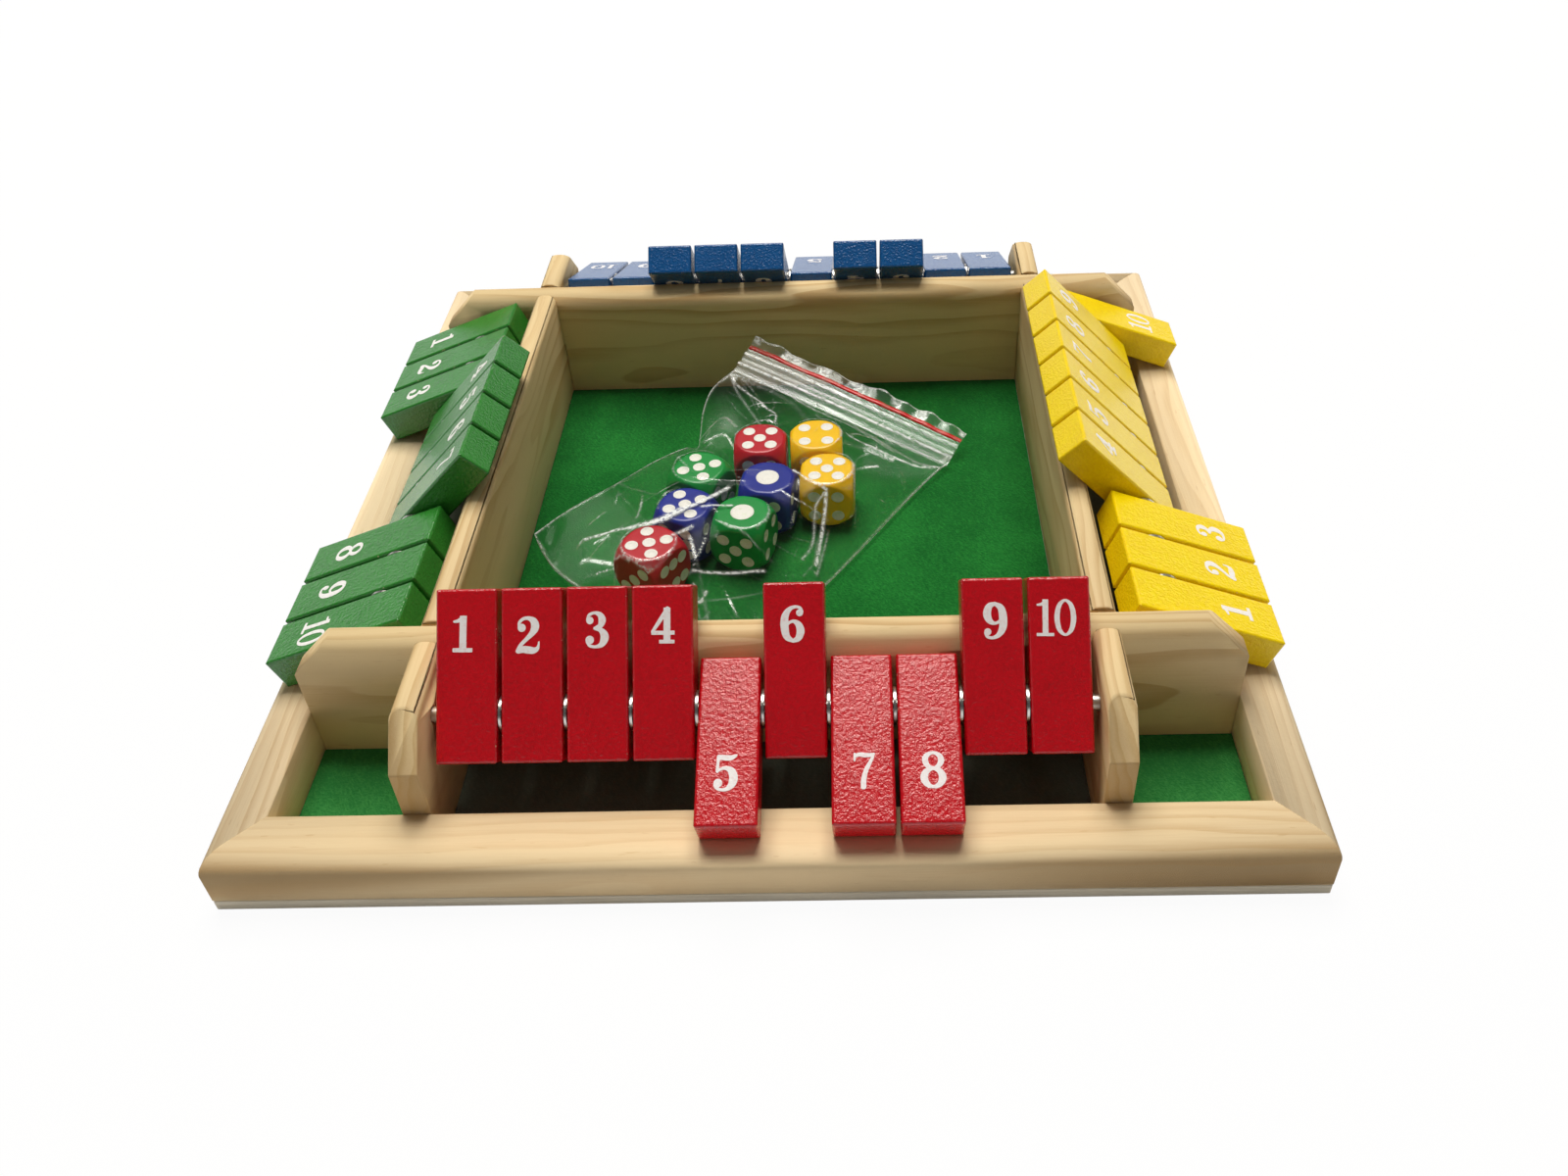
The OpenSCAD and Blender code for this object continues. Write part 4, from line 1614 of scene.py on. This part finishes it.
@dataclass
class Studio:
    """The floor, the lamps, the sky and the camera."""

    eye: tuple[float, float, float] = (24.9, -300.3, 258.12)
    ahead: tuple[float, float, float] = (-0.0268, 0.7715, -0.6356)
    rightward: tuple[float, float, float] = (0.9994, 0.0063, -0.0344)
    focal_px: float = 1336.8
    axis_px: tuple[float, float] = (850.0, 520.0)
    sensor: float = 36.0
    floor_half: float = 4000.0
    lamp_size: float = 1.6
    lamp_at: tuple[float, float, float] = (-120.0, 1000.0, 2400.0)
    lamp_watts: float = 74.0
    glint_size: float = 0.10
    glint_at: tuple[float, float, float] = (-60.0, 140.0, 1250.0)
    glint_watts: float = 1.6
    sky: float = 0.17
    ceiling: float = 0.08
    horizon: tuple[float, float] = (0.35, 0.15)
    floor_glow: float = 0.95
    clip: tuple[float, float] = (0.01, 20.0)

    def camera(self) -> None:
        """Stands the camera where the photograph was taken, with its lens and its crop."""
        ahead = unit(np.array(self.ahead))
        right = np.array(self.rightward)
        right = unit(right - ahead * (right @ ahead))
        pose = np.eye(4)
        pose[:3, 0], pose[:3, 1], pose[:3, 2] = right, np.cross(right, ahead), -ahead
        pose[:3, 3] = np.array(self.eye) * MM
        data = bpy.data.cameras.new("camera")
        data.sensor_width = self.sensor
        data.lens = self.sensor * self.focal_px / PHOTO_W
        data.shift_x = (PHOTO_W / 2 - self.axis_px[0]) / PHOTO_W
        data.shift_y = (self.axis_px[1] - PHOTO_H / 2) / PHOTO_W
        data.clip_start, data.clip_end = self.clip
        camera = bpy.data.objects.new("camera", data)
        camera.matrix_world = Matrix(pose.tolist())
        bpy.context.scene.collection.objects.link(camera)
        bpy.context.scene.camera = camera

    def seen(self, graph: Graph) -> Signal:
        """One for what the camera, a gloss or a clear film sees, and zero for light on the object."""
        names = ("Is Camera Ray", "Is Glossy Ray", "Is Transmission Ray")
        rays = [graph.node("ShaderNodeLightPath", output=name) for name in names]
        return functools.reduce(Signal.larger, rays)

    @staticmethod
    def lamp(name: str, size: float, place: Sequence[float], watts: float) -> None:
        """Hangs a square lamp that shines straight down."""
        data = bpy.data.lights.new(name, "AREA")
        data.shape = "SQUARE"
        data.size = size
        data.energy = watts
        data.color = LAMP_TINT
        lamp = bpy.data.objects.new(name, data)
        lamp.location = [c * MM for c in place]
        bpy.context.scene.collection.objects.link(lamp)

    def floor(self) -> None:
        """A white sheet of floor that keeps a faint shadow."""
        h = self.floor_half
        points = np.array([[-h, -h, 0], [h, -h, 0], [h, h, 0], [-h, h, 0]]) * MM
        mesh = bpy.data.meshes.new("floor")
        mesh.from_pydata(points.tolist(), [], [[0, 1, 2, 3]])
        graph = Graph("white_floor")
        plain = graph.node("ShaderNodeBsdfDiffuse", inputs={"Color": paint_rgb(242, 240, 236)})
        glow = graph.node("ShaderNodeEmission", inputs={"Color": WHITE, "Strength": 1.0})
        share = self.seen(graph) * self.floor_glow
        both = graph.node("ShaderNodeMixShader", inputs={0: share, 1: plain, 2: glow})
        graph.node("ShaderNodeOutputMaterial", inputs={"Surface": both})
        mesh.materials.append(graph.material)
        floor = bpy.data.objects.new("floor", mesh)
        bpy.context.scene.collection.objects.link(floor)
        floor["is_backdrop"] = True

    def lights(self) -> None:
        """One broad soft lamp overhead, a small one that glints in the film, and a plain sky.

        The sky is white where the camera, a clear film or a gloss looks along the horizon, and dim
        above, as a ceiling between lamps is.
        """
        self.lamp("ceiling_lamp", self.lamp_size, self.lamp_at, self.lamp_watts)
        self.lamp("glint_lamp", self.glint_size, self.glint_at, self.glint_watts)
        world = bpy.data.worlds.new("sky")
        bpy.context.scene.world = world
        world.use_nodes = True
        world.node_tree.nodes.clear()
        graph = Graph("sky")
        bpy.data.materials.remove(graph.material)
        graph.tree = world.node_tree
        aim = graph.node("ShaderNodeTexCoord", output="Generated")
        aim = graph.node("ShaderNodeSeparateXYZ", inputs={"Vector": aim}, output="Z")
        seen = self.seen(graph)
        level = seen * (aim.rise(*self.horizon) * (1 - self.ceiling) + self.ceiling - self.sky) + self.sky
        sky = graph.node("ShaderNodeBackground", inputs={"Color": WHITE, "Strength": level})
        graph.node("ShaderNodeOutputWorld", inputs={"Surface": sky})

    def build(self) -> None:
        """Sets up the shot."""
        self.camera()
        self.floor()
        self.lights()
        bpy.context.scene.view_settings.view_transform = "Standard"


def corners() -> list[list[float]]:
    """The whole object's lowest and highest corners, in metres."""
    return [[round(c, 6) for c in corner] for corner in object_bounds()]


def main() -> None:
    """Builds the sub-assemblies in order."""
    logging.basicConfig(level=logging.INFO, format="%(message)s")
    frame_box = corners()
    Studio().build()
    Woodwork().build()
    Hardware().build()
    TileRows().build()
    Dice().build()
    Bag().build()
    {"frame": frame_box, "dressed": corners()}


if __name__ == "__main__":
    main()
